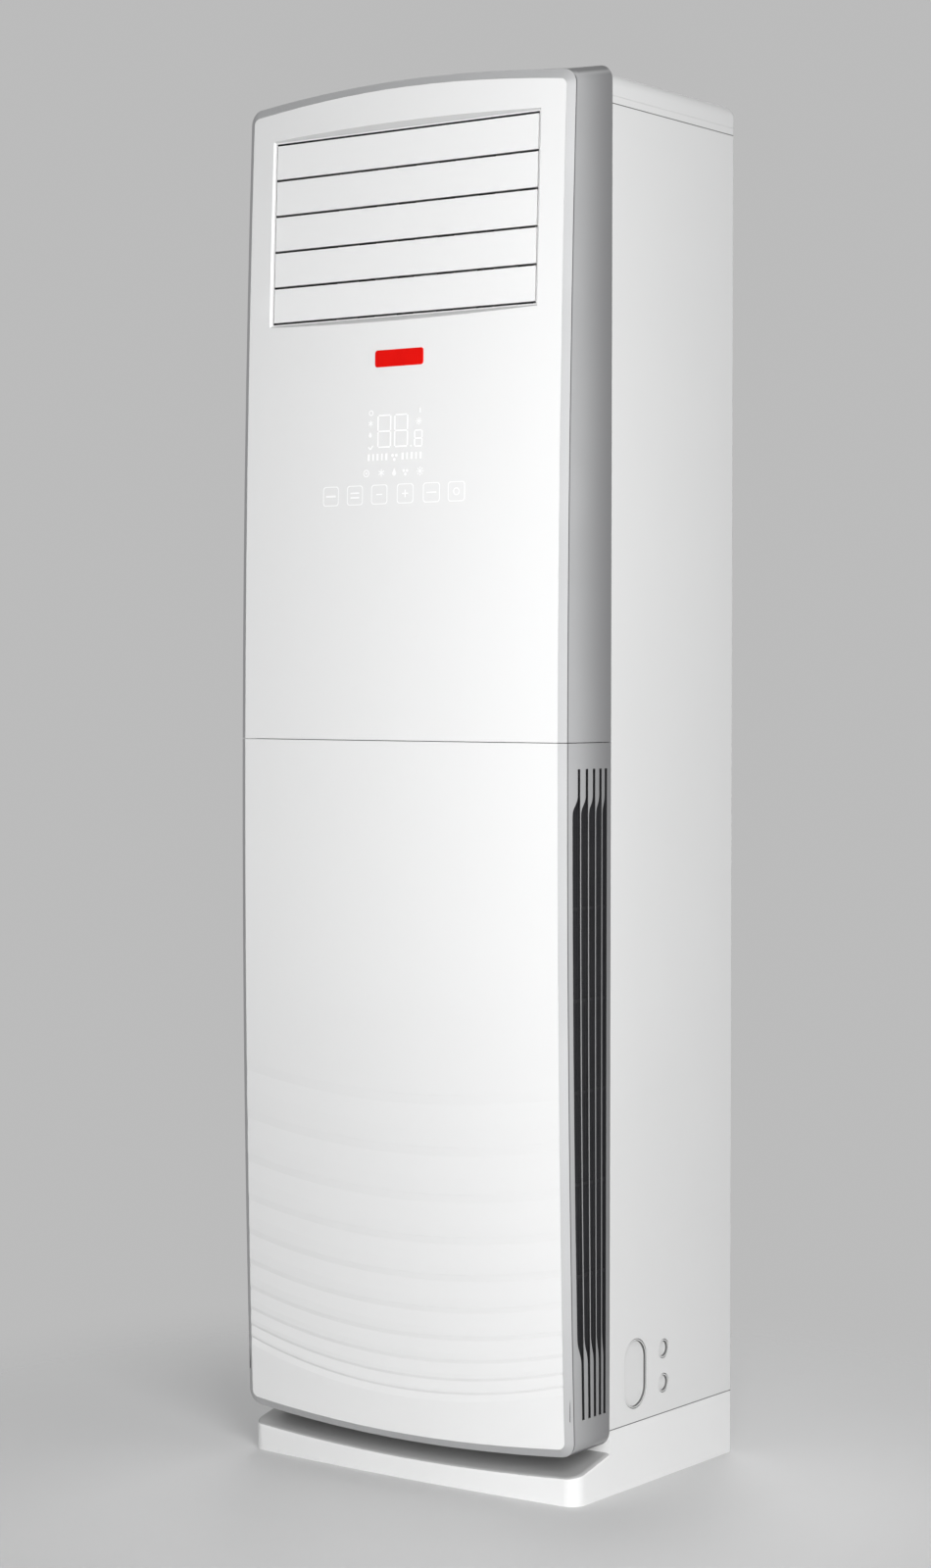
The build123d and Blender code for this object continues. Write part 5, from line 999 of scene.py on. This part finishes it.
@dataclass(frozen=True)
class Digit:
    """One figure of seven bars. Millimetres."""

    left: float
    low: float
    width: float = 21.0
    rise: float = 42.0
    line: float = 2.0

    def draw(self, shape: RibbonMesh) -> None:
        """Draw the seven bars.

        Args:
            shape: mesh to add to.
        """
        gap = self.line / 2
        right, mid, top = self.left + self.width, self.low + self.rise / 2, self.low + self.rise
        for z in (self.low, mid, top):
            shape.stroke((self.left + gap, z), (right - gap, z), self.line)
        for x in (self.left, right):
            shape.stroke((x, self.low + gap), (x, mid - gap), self.line)
            shape.stroke((x, mid + gap), (x, top - gap), self.line)


@dataclass(frozen=True)
class KeyStroke:
    """One straight stroke of a key's sign, placed from the key's middle. Millimetres."""

    width: float
    half_across: float = 0.0
    half_upright: float = 0.0
    above: float = 0.0


@dataclass
class DisplayPanel:
    """Light figures, icons and touch keys that show through the upper panel. Millimetres."""

    FIGURE_FOOT = 1367.0
    ICON_ROW = 1333.0

    pen: SignPen = SignPen()
    digits: tuple[Digit, ...] = (
        Digit(-27.5, FIGURE_FOOT), Digit(0.5, FIGURE_FOOT),
        Digit(33.5, FIGURE_FOOT - 1.0, 12.0, 21.0, 1.6),
    )
    point: Mark = Mark(Sign.DOT, (27.5, FIGURE_FOOT), 1.1, 10)
    icons: tuple[Mark, ...] = (
        Mark(Sign.SNOW, (-40.0, 1399.0), 3.8), Mark(Sign.DROP, (-40.5, 1384.0), 4.0),
        Mark(Sign.RING, (-39.5, 1413.0), 3.2), Mark(Sign.SUN, (40.0, 1399.0), 4.6),
        Mark(Sign.FAN, (0.5, 1353.5), 6.0), Mark(Sign.RING, (-46.5, ICON_ROW), 4.4, 14),
        Mark(Sign.DOT, (-46.5, ICON_ROW), 1.6, 8), Mark(Sign.SNOW, (-21.0, ICON_ROW), 5.0),
        Mark(Sign.DROP, (0.5, ICON_ROW), 5.4), Mark(Sign.FAN, (19.0, ICON_ROW), 5.4),
        Mark(Sign.SUN, (43.0, ICON_ROW), 5.6),
    )
    ticks: tuple[tuple[Point2, Point2], ...] = (
        ((-43.5, 1368.0), (-40.0, 1364.5)), ((-40.0, 1364.5), (-36.0, 1369.5)),
        ((42.0, 1410.0), (42.0, 1416.5)),
    )
    tick_line: float = 1.6
    bars: int = 5
    bar_middle: float = 0.5
    bar_start: float = 13.5
    bar_pitch: float = 7.4
    bar_span: Span = (1349.5, 1358.5)
    bar_lines: tuple[float, ...] = (3.4, 2.6)
    key_width: float = 26.0
    key_rise: float = 25.0
    key_corner: float = 4.0
    key_height: float = 1304.5
    key_places: tuple[float, ...] = (-107.0, -65.5, -24.0, 19.0, 62.0, 102.0)
    key_signs: tuple[tuple[KeyStroke, ...], ...] = (
        (KeyStroke(2.6, half_across=8.5),),
        (KeyStroke(2.0, half_across=7.5, above=3.0), KeyStroke(2.0, half_across=7.5, above=-3.0)),
        (KeyStroke(1.6, half_across=5.0),),
        (KeyStroke(1.6, half_across=5.0), KeyStroke(1.6, half_upright=5.0)),
        (KeyStroke(1.8, half_across=8.0),),
        (),
    )
    key_ring: float = 4.5
    key_ring_sides: int = 14
    lift: float = 0.06
    sink: float = 0.3

    def _figures(self, shape: RibbonMesh) -> None:
        """Two large figures, a point and a small figure.

        Args:
            shape: mesh to add to.
        """
        for digit in self.digits:
            digit.draw(shape)
        self.pen.draw(shape, self.point)

    def _icons(self, shape: RibbonMesh) -> None:
        """Small signs round the figures and the row of level bars.

        Args:
            shape: mesh to add to.
        """
        for start, end in self.ticks:
            shape.stroke(start, end, self.tick_line)
        low, high = self.bar_span
        for side in (-1, 1):
            for n in range(self.bars):
                x = self.bar_middle + side * (self.bar_start + self.bar_pitch * n)
                shape.stroke((x, low), (x, high), self.bar_lines[n % len(self.bar_lines)])
        for mark in self.icons:
            self.pen.draw(shape, mark)

    def _keys(self, shape: RibbonMesh) -> None:
        """Six framed touch keys with plain signs.

        Args:
            shape: mesh to add to.
        """
        for x, strokes in zip(self.key_places, self.key_signs):
            centre = (x, self.key_height)
            shape.loop(rounded(centre, self.key_width, self.key_rise, self.key_corner),
                       self.pen.line)
            for stroke in strokes:
                z = self.key_height + stroke.above
                shape.stroke((x - stroke.half_across, z - stroke.half_upright),
                             (x + stroke.half_across, z + stroke.half_upright), stroke.width)
        ringed = (self.key_places[-1], self.key_height)
        self.pen.draw(shape, Mark(Sign.RING, ringed, self.key_ring, self.key_ring_sides))

    def build(self, wardrobe: Wardrobe) -> None:
        """Make the figures, icons and keys.

        Args:
            wardrobe: the finishes.
        """
        for name, draw in (("display_figures", self._figures), ("display_icons", self._icons),
                           ("touch_keys", self._keys)):
            shape = RibbonMesh(self.lift, self.sink)
            draw(shape)
            piece = shape.piece(name, wardrobe.materials["display_light"])
            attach(piece, "cabinet")
            LOG.info("made %s", name)


@dataclass
class NamePlate:
    """Plain raised plate between the outlet and the display. Millimetres.

    A step of the profile is its distance in from the outline and its height over the face.
    """

    centre: Point2 = (6.0, 1484.5)
    width: float = 80.0
    rise: float = 22.5
    corner: float = 4.0
    profile: tuple[Point2, ...] = ((0.0, -0.3), (0.0, 0.45), (0.5, 0.9), (1.2, 0.9))

    def build(self, wardrobe: Wardrobe) -> None:
        """Make the plate as a bevelled shell on the face.

        Args:
            wardrobe: the finishes.
        """
        verts: list[Vector] = []
        faces: list[Face] = []
        rings = []
        for inset, lift in self.profile:
            corners = rounded(self.centre, self.width - 2 * inset, self.rise - 2 * inset,
                              self.corner - inset)
            rings.append([FACE.point(x, z, lift) for x, z in corners])
        join_rings(verts, faces, rings)
        piece = mesh_object("name_plate", verts, faces, wardrobe.materials["badge_red"])
        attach(piece, "cabinet")
        LOG.info("made name_plate")


@dataclass(frozen=True)
class Dish:
    """One dish: its side, -1 for the left or 1 for the right, and its hole. Millimetres."""

    side: int
    centre: Point2
    width: float
    rise: float


@dataclass
class PlugDishes:
    """Moulded dishes that close the pipe outlets, set back in their holes. Millimetres.

    A step of the profile is its distance in from the outline and its place out from the middle.
    """

    oblong_centre: Point2 = (-32.05, 148.7)
    oblong_width: float = 56.0
    oblong_rise: float = 92.0
    round_centres: tuple[Point2, ...] = ((36.0, 124.9), (36.0, 170.4))
    round_width: float = 26.0
    corner_steps: int = 10
    profile: tuple[Point2, ...] = (
        (6.0, 265.75), (4.2, 265.8), (3.3, 266.1), (2.9, 266.8), (2.7, 268.9), (2.4, 269.35),
        (1.6, 269.4), (1.2, 269.2), (0.35, 268.6), (0.35, 268.5), (-3.0, 268.5), (-3.0, 267.0),
        (1.7, 267.0), (2.0, 265.0), (6.0, 264.85),
    )

    def _rings(self, dish: Dish) -> list[list[Vector]]:
        """Rings of points that one dish is made over.

        Args:
            dish: the dish.

        Returns:
            A ring for each step of the profile.
        """
        rings = []
        for inset, out in self.profile:
            wide, high = dish.width - 2 * inset, dish.rise - 2 * inset
            corners = rounded(dish.centre, wide, high, min(wide, high) / 2, self.corner_steps)
            rings.append([Vector((dish.side * out, y, z)) * MM for y, z in corners])
        return rings

    def _piece(self, name: str, node: str, dishes: Iterable[Dish], wardrobe: Wardrobe) -> None:
        """Make the dishes that stand for one node.

        Args:
            name: name of the piece.
            node: node that it replaces.
            dishes: the dishes.
            wardrobe: the finishes.
        """
        verts: list[Vector] = []
        faces: list[Face] = []
        for dish in dishes:
            join_rings(verts, faces, self._rings(dish))
        piece = mesh_object(name, verts, faces, wardrobe.materials["plug_plastic"], merge=True)
        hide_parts(node)
        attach(piece, "cabinet")
        LOG.info("made %s", name)

    def build(self, wardrobe: Wardrobe) -> None:
        """Make the oblong and the round dishes of both sides.

        Args:
            wardrobe: the finishes.
        """
        for name, side in (("left", -1), ("right", 1)):
            dish = Dish(side, self.oblong_centre, self.oblong_width, self.oblong_rise)
            self._piece(f"{name}_outlet_dish", f"{name}_pipe_cover", (dish,), wardrobe)
        rounds = [Dish(side, centre, self.round_width, self.round_width)
                  for side in (-1, 1) for centre in self.round_centres]
        self._piece("round_outlet_dishes", "hole_plugs", rounds, wardrobe)


# ------------------------------------------------------------------ repeats made with geometry nodes
class GrowthTree(NodeTree):
    """A geometry node tree with named inputs, built node by node."""

    def __init__(self, name: str, sizes: dict[str, float], counts: dict[str, int]) -> None:
        """Make the tree and its inputs.

        Args:
            name: name of the tree.
            sizes: names and first values of lengths.
            counts: names and first values of counts.
        """
        super().__init__(bpy.data.node_groups.new(name, "GeometryNodeTree"))
        face = self.tree.interface
        face.new_socket("Geometry", in_out="INPUT", socket_type="NodeSocketGeometry")
        self.sockets: dict[str, str] = {}
        for inputs, kind in ((sizes, "NodeSocketFloat"), (counts, "NodeSocketInt")):
            for label, value in inputs.items():
                socket = face.new_socket(label, in_out="INPUT", socket_type=kind)
                socket.default_value = value
                self.sockets[label] = socket.identifier
        face.new_socket("Geometry", in_out="OUTPUT", socket_type="NodeSocketGeometry")
        self.values = self.add("NodeGroupInput").outputs
        self.target = self.add("NodeGroupOutput")

    def vector(self, x: Input, y: Input, z: Input) -> Socket:
        """Vector from three values or sockets."""
        return self.add("ShaderNodeCombineXYZ", X=x, Y=y, Z=z).outputs[0]

    def line(self, count: Socket, start: Socket, step: Socket, ends: bool = False) -> Socket:
        """Points in a row.

        Args:
            count: how many.
            start: place of the first.
            step: step to the next, or place of the last.
            ends: whether step is the place of the last.

        Returns:
            The points' socket.
        """
        node = self.add("GeometryNodeMeshLine")
        node.mode = "END_POINTS" if ends else "OFFSET"
        for name, value in (("Count", count), ("Start Location", start), ("Offset", step)):
            self.feed(node, name, value)
        return node.outputs[0]

    def scatter(self, points: Socket, shape: Socket) -> Socket:
        """Put a shape on every point."""
        return self.add("GeometryNodeInstanceOnPoints", Points=points, Instance=shape).outputs[0]

    def move(self, geometry: Socket, **change: Input) -> Socket:
        """Geometry with a Translation, a Rotation or both."""
        return self.add("GeometryNodeTransform", Geometry=geometry, **change).outputs[0]

    def join(self, *parts: Socket) -> Socket:
        """Join geometries into one.

        Args:
            parts: the geometries.

        Returns:
            The joined geometry's socket.
        """
        node = self.add("GeometryNodeJoinGeometry")
        for part in parts:
            self.link(part, node.inputs[0])
        return node.outputs[0]

    def finish(self, geometry: Socket, material: bpy.types.Material) -> None:
        """Realize the instances and set the material.

        Args:
            geometry: what the tree has made.
            material: its finish.
        """
        solid = self.add("GeometryNodeRealizeInstances", Geometry=geometry)
        dressed = self.add("GeometryNodeSetMaterial", Geometry=solid.outputs[0], Material=material)
        self.link(dressed.outputs[0], self.target.inputs[0])

    def grow(self, name: str, values: dict[str, float]) -> bpy.types.Object:
        """Run the tree and return its result as a plain mesh object.

        Args:
            name: name of the piece.
            values: inputs by name.

        Returns:
            The piece.
        """
        holder = bpy.data.objects.new(name + "_holder", bpy.data.meshes.new(name + "_seed"))
        bpy.context.scene.collection.objects.link(holder)
        modifier = holder.modifiers.new("growth", "NODES")
        modifier.node_group = self.tree
        for label, value in values.items():
            modifier[self.sockets[label]] = value
        bpy.context.view_layer.update()
        graph = bpy.context.evaluated_depsgraph_get()
        mesh = bpy.data.meshes.new_from_object(holder.evaluated_get(graph))
        holder.modifiers.clear()
        bpy.data.objects.remove(holder)
        mesh.name = name
        piece = bpy.data.objects.new(name, mesh)
        bpy.context.scene.collection.objects.link(piece)
        return piece


@dataclass
class RearScrews:
    """Twelve pan head screws with cross recesses that hold the rear panel. Metres."""

    node: str = "cabinet_screws"
    half_width: float = 0.2633
    low: float = 0.130
    pitch: float = 0.330
    rows: int = 6
    seat_y: float = 0.20895
    head_radius: float = 0.0035
    head_crown: float = 0.62
    head_rise: float = 0.0016
    head_sides: int = 20
    shank_radius: float = 0.0013
    shank_length: float = 0.0062
    thread_pitch: float = 0.0008
    thread_root: float = 0.8
    thread_sides: int = 10
    slot_width: float = 0.0007
    slot_length: float = 0.0042
    slot_depth: float = 0.0010

    def _head(self, grow: GrowthTree) -> Socket:
        """Head with its cross recess, its seat at zero.

        Args:
            grow: the tree.

        Returns:
            The head's socket.
        """
        values = grow.values
        head = grow.add("GeometryNodeMeshCone", Vertices=self.head_sides, Side_Segments=1,
                        Radius_Bottom=values["Head Radius"], Depth=values["Head Rise"],
                        Radius_Top=grow.times(values["Head Radius"], self.head_crown))
        deep = grow.times(values["Slot Depth"], 2.0)
        bars = [
            grow.add("GeometryNodeMeshCube", Size=grow.vector(values[across], values[along], deep))
            for across, along in (("Slot Length", "Slot Width"), ("Slot Width", "Slot Length"))
        ]
        recess = grow.move(grow.join(*(bar.outputs[0] for bar in bars)),
                           Translation=grow.vector(0.0, 0.0, values["Head Rise"]))
        cut = grow.add("GeometryNodeMeshBoolean")
        cut.operation = "DIFFERENCE"
        grow.link(head.outputs[0], cut.inputs[0])
        grow.link(recess, cut.inputs[1])
        return cut.outputs[0]

    def _thread(self, grow: GrowthTree) -> Socket:
        """Turns of the thread under the head.

        Args:
            grow: the tree.

        Returns:
            The turns' socket.
        """
        values = grow.values
        turn = grow.add("GeometryNodeMeshCone", Vertices=self.thread_sides, Side_Segments=1,
                        Radius_Bottom=grow.times(values["Shank Radius"], self.thread_root),
                        Radius_Top=values["Shank Radius"], Depth=values["Thread Pitch"])
        start = grow.vector(0.0, 0.0, grow.times(values["Shank Length"], -1.0))
        step = grow.vector(0.0, 0.0, grow.times(values["Thread Pitch"], -1.0))
        return grow.scatter(grow.line(values["Turns"], start, step), turn.outputs[0])

    def build(self, wardrobe: Wardrobe) -> None:
        """Make the screws in the place of the plain ones.

        Args:
            wardrobe: the finishes.
        """
        turns = round(self.shank_length / self.thread_pitch)
        grow = GrowthTree(
            "rear_screws",
            {"Head Radius": self.head_radius, "Head Rise": self.head_rise,
             "Shank Radius": self.shank_radius, "Shank Length": self.shank_length,
             "Thread Pitch": self.thread_pitch, "Slot Width": self.slot_width,
             "Slot Length": self.slot_length, "Slot Depth": self.slot_depth},
            {"Turns": turns, "Rows": self.rows},
        )
        height = self.pitch * (self.rows - 1)
        grid = grow.add("GeometryNodeMeshGrid", Vertices_X=2, Vertices_Y=grow.values["Rows"],
                        Size_X=2 * self.half_width, Size_Y=height)
        points = grow.add("GeometryNodeMeshToPoints", Mesh=grid.outputs[0])
        screws = grow.scatter(points.outputs[0], grow.join(self._head(grow), self._thread(grow)))
        stood = grow.move(screws, Rotation=(-math.pi / 2, 0.0, 0.0),
                          Translation=(0.0, self.seat_y, self.low + height / 2))
        grow.finish(stood, wardrobe.materials["bright_steel"])
        piece = grow.grow("rear_screws", {"Turns": turns, "Rows": self.rows})
        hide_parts(self.node)
        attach(piece, "cabinet")
        LOG.info("made %s", piece.name)


@dataclass
class CoilCore:
    """Aluminium fins on copper tubes, in the place of the coil's block. Metres and radians."""

    node: str = "evaporator_coil"
    middle_y: float = 0.07495
    middle_z: float = 1.280
    slant: float = 0.38397
    depth: float = 0.0436
    length: float = 0.4996
    half_width: float = 0.1985
    fin: float = 0.00028
    pitch: float = 0.0021
    tube_radius: float = 0.0046
    tube_sides: int = 12
    tube_pitch: float = 0.056
    tubes: int = 8
    tube_offset: float = 0.011

    def _fin_rows(self, grow: GrowthTree) -> Socket:
        """Thin plates in a row across.

        Args:
            grow: the tree.

        Returns:
            The plates' socket.
        """
        values = grow.values
        fin = grow.add("GeometryNodeMeshCube",
                       Size=grow.vector(values["Fin"], values["Depth"], values["Length"]))
        start = grow.vector(grow.times(values["Half Width"], -1.0), 0.0, 0.0)
        end = grow.vector(values["Half Width"], 0.0, 0.0)
        return grow.scatter(grow.line(values["Fins"], start, end, ends=True), fin.outputs[0])

    def _tube_rows(self, grow: GrowthTree) -> Socket:
        """Two rows of tubes through the plates.

        Args:
            grow: the tree.

        Returns:
            The tubes' socket.
        """
        values = grow.values
        tube = grow.add("GeometryNodeMeshCylinder", Vertices=self.tube_sides,
                        Radius=values["Tube Radius"], Depth=grow.times(values["Half Width"], 2.0))
        laid = grow.move(tube.outputs[0], Rotation=(0.0, math.pi / 2, 0.0))
        half = self.tube_pitch * (self.tubes - 1) / 2
        rows = []
        for side in (-1.0, 1.0):
            off = grow.times(values["Tube Offset"], side)
            low = grow.vector(0.0, 0.0, grow.maths("SUBTRACT", off, half))
            high = grow.vector(0.0, 0.0, grow.maths("ADD", off, half))
            rows.append(grow.scatter(grow.line(values["Tubes"], low, high, ends=True), laid))
        return grow.join(*rows)

    def _rows(self, name: str, material: bpy.types.Material,
              fill: Callable[[GrowthTree], Socket]) -> bpy.types.Object:
        """Grow one repeated set and lean it to the coil's slant.

        Args:
            name: name of the piece.
            material: its finish.
            fill: adds the set's nodes and returns their result.

        Returns:
            The piece.
        """
        fins = round(2 * self.half_width / self.pitch)
        grow = GrowthTree(
            name,
            {"Depth": self.depth, "Length": self.length, "Half Width": self.half_width,
             "Fin": self.fin, "Tube Radius": self.tube_radius, "Tube Offset": self.tube_offset},
            {"Fins": fins, "Tubes": self.tubes},
        )
        leant = grow.move(fill(grow), Rotation=(-self.slant, 0.0, 0.0),
                          Translation=(0.0, self.middle_y, self.middle_z))
        grow.finish(leant, material)
        return grow.grow(name, {"Fins": fins, "Tubes": self.tubes})

    def build(self, wardrobe: Wardrobe) -> None:
        """Make fins and tubes.

        Args:
            wardrobe: the finishes.
        """
        fins = self._rows("coil_fins", wardrobe.materials["aluminium_fins"], self._fin_rows)
        tubes = self._rows("coil_tubes", wardrobe.materials["copper"], self._tube_rows)
        for piece in (fins, tubes):
            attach(piece, "cabinet")
            LOG.info("made %s", piece.name)
        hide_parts(self.node)


@dataclass
class FilterNets:
    """Fine nets of crossed strands in the filter frames, seen through the slots. Metres."""

    strand: float = 0.0005
    pitch: float = 0.006
    plane: float = 0.2667
    low: float = 0.112
    high: float = 0.943
    front_y: float = -0.1790
    rear_y: float = -0.1030

    def _tree(self, rows: int, columns: int) -> GrowthTree:
        """Make the tree with its inputs.

        Args:
            rows: number of level strands.
            columns: number of upright strands.

        Returns:
            The tree.
        """
        return GrowthTree(
            "filter_net",
            {"Side": self.plane, "Front": self.front_y, "Rear": self.rear_y, "Low": self.low,
             "High": self.high, "Strand": self.strand},
            {"Rows": rows, "Columns": columns},
        )

    def _strands(self, grow: GrowthTree) -> Socket:
        """Lay strands along two directions.

        Args:
            grow: the tree.

        Returns:
            The strands' socket.
        """
        front, rear, low, high, side, strand = (
            grow.values[name] for name in ("Front", "Rear", "Low", "High", "Side", "Strand")
        )
        depth, rise = grow.maths("SUBTRACT", rear, front), grow.maths("SUBTRACT", high, low)
        middle_y = grow.times(grow.maths("ADD", rear, front), 0.5)
        middle_z = grow.times(grow.maths("ADD", high, low), 0.5)
        level = (grow.vector(side, middle_y, low), grow.vector(side, middle_y, high),
                 grow.vector(strand, depth, strand))
        upright = (grow.vector(side, front, middle_z), grow.vector(side, rear, middle_z),
                   grow.vector(strand, strand, rise))
        sets = []
        for count, (start, end, size) in (("Rows", level), ("Columns", upright)):
            piece = grow.add("GeometryNodeMeshCube", Size=size)
            line = grow.line(grow.values[count], start, end, ends=True)
            sets.append(grow.scatter(line, piece.outputs[0]))
        return grow.join(*sets)

    def build(self, wardrobe: Wardrobe) -> None:
        """Make both nets.

        Args:
            wardrobe: the finishes.
        """
        rows = round((self.high - self.low) / self.pitch)
        columns = round((self.rear_y - self.front_y) / self.pitch)
        grow = self._tree(rows, columns)
        grow.finish(self._strands(grow), wardrobe.materials["net_grey"])
        for name, side in (("left_filter_net", -1), ("right_filter_net", 1)):
            piece = grow.grow(name, {"Side": side * self.plane, "Rows": rows, "Columns": columns})
            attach(piece, "lower_cover")
            LOG.info("made %s", name)


# ------------------------------------------------------------------ studio
@dataclass(frozen=True)
class Lamp:
    """One soft rectangular lamp. Metres and watts."""

    name: str
    place: tuple[float, float, float]
    aim: tuple[float, float, float]
    width: float
    rise: float
    power: float

    def hang(self) -> None:
        """Add the lamp to the scene, unseen by the camera."""
        light = bpy.data.lights.new(self.name, "AREA")
        light.shape = "RECTANGLE"
        light.size, light.size_y = self.width, self.rise
        light.energy = self.power
        lamp = bpy.data.objects.new(self.name, light)
        lamp.location = self.place
        turn = (Vector(self.aim) - Vector(self.place)).to_track_quat("-Z", "Y")
        lamp.rotation_euler = turn.to_euler()
        lamp.visible_camera = False
        bpy.context.scene.collection.objects.link(lamp)


LAMPS: tuple[Lamp, ...] = (
    Lamp("key_lamp", (1.60, -1.45, 1.16), (0.10, -0.10, 1.06), 0.9, 2.3, 41.3),
    Lamp("low_lamp", (1.30, -1.75, 0.38), (0.05, -0.20, 0.25), 0.9, 0.6, 4.9),
    Lamp("high_lamp", (1.35, -1.70, 2.25), (0.05, -0.15, 1.80), 0.9, 0.5, 4.6),
    Lamp("fill_lamp", (-2.6, -3.2, 1.3), (0.0, -0.1, 0.9), 2.2, 2.4, 11.5),
    Lamp("rear_lamp", (-1.6, 3.2, 2.0), (0.0, 0.1, 0.9), 2.4, 2.4, 38.0),
    Lamp("top_lamp", (0.0, 0.05, 3.3), (0.0, 0.05, 1.8), 1.4, 1.4, 4.0),
)


@dataclass
class Studio:
    """Pale floor, soft lamps, the world and the camera. Metres and degrees."""

    camera_place: tuple[float, float, float] = (2.5396, -3.50445, 1.0505)
    azimuth: float = 36.283
    pitch: float = 0.015
    roll: float = -0.1376
    lens: float = 72.41
    sensor: float = 36.0
    shift_y: float = -0.0627
    floor_radius: float = 6.0
    floor_sides: int = 64
    floor_fade: Span = (0.45, 1.15)
    floor_grey: float = 0.66
    floor_worn: float = 0.97
    floor_roughness: float = 0.6
    backdrop_grey: float = 0.50
    ambient: float = 0.32
    ambient_colour: Colour = (0.98, 0.99, 1.0)

    def _floor(self, shelf: EffectShelf) -> None:
        """Lay a round floor that fades out into the backdrop.

        Args:
            shelf: the shared effects.
        """
        rim = [(x, y, 0.0) for x, y in ring_of((0.0, 0.0), self.floor_radius, self.floor_sides)]
        grey = (self.floor_grey,) * 3
        worn = tuple(self.floor_worn * part for part in grey)
        finish = Finish("studio_floor", grey, worn, self.floor_roughness, relief=0.01,
                        tone_scale=1.0)
        material = finish.build(shelf)
        self._fade(material)
        mesh_object("studio_floor", rim, [tuple(range(self.floor_sides))], material)

    def _fade(self, material: bpy.types.Material) -> None:
        """Let the floor turn clear with its distance from the object.

        Args:
            material: the floor's material.
        """
        tree = ShaderTree(material.node_tree)
        reach = tree.add("ShaderNodeVectorMath")
        reach.operation = "LENGTH"
        tree.feed(reach, 0, tree.place())
        fade = tree.ramp(reach.outputs["Value"], *self.floor_fade)
        tree.show(fade, tree.find("ShaderNodeBsdfPrincipled"),
                  tree.add("ShaderNodeBsdfTransparent"), tree.find("ShaderNodeOutputMaterial"))

    def _world(self) -> None:
        """Plain pale surroundings, with the backdrop's grey where they are seen."""
        world = bpy.data.worlds.new("studio_world")
        world.use_nodes = True
        world.node_tree.nodes.clear()
        tree = ShaderTree(world.node_tree)
        dim = tree.add("ShaderNodeBackground", Color=self.ambient_colour, Strength=self.ambient)
        seen = tree.add("ShaderNodeBackground", Color=(self.backdrop_grey,) * 3, Strength=1.0)
        path = tree.add("ShaderNodeLightPath").outputs
        shown = tree.maths("MAXIMUM", path["Is Camera Ray"], path["Is Glossy Ray"])
        shown = tree.maths("MAXIMUM", shown, path["Is Transmission Ray"])
        tree.show(shown, dim, seen, tree.add("ShaderNodeOutputWorld"))
        bpy.context.scene.world = world

    def _camera(self) -> None:
        """Camera at the photograph's angle."""
        data = bpy.data.cameras.new("studio_camera")
        data.lens = self.lens
        data.sensor_width = self.sensor
        data.shift_y = self.shift_y
        camera = bpy.data.objects.new("studio_camera", data)
        camera.location = self.camera_place
        camera.rotation_mode = "XYZ"
        camera.rotation_euler = (
            math.radians(90 + self.pitch), math.radians(self.roll), math.radians(self.azimuth)
        )
        bpy.context.scene.collection.objects.link(camera)
        bpy.context.scene.camera = camera

    def build(self, shelf: EffectShelf) -> None:
        """Set everything up.

        Args:
            shelf: the shared effects.
        """
        bpy.context.scene.view_settings.view_transform = "Standard"
        self._camera()
        self._floor(shelf)
        self._world()
        for lamp in LAMPS:
            lamp.hang()
        LOG.info("set up the studio")


def main() -> None:
    """Build every sub-assembly in order.
    """
    logging.basicConfig(level=logging.INFO, format="%(message)s")
    shelf = EffectShelf()
    wardrobe = Wardrobe(shelf)
    Studio().build(shelf)
    wardrobe.dress_nodes()
    for assembly in (DisplayPanel(), NamePlate(), PlugDishes(), RearScrews(), CoilCore(),
                     FilterNets()):
        assembly.build(wardrobe)


if __name__ == "__main__":
    main()
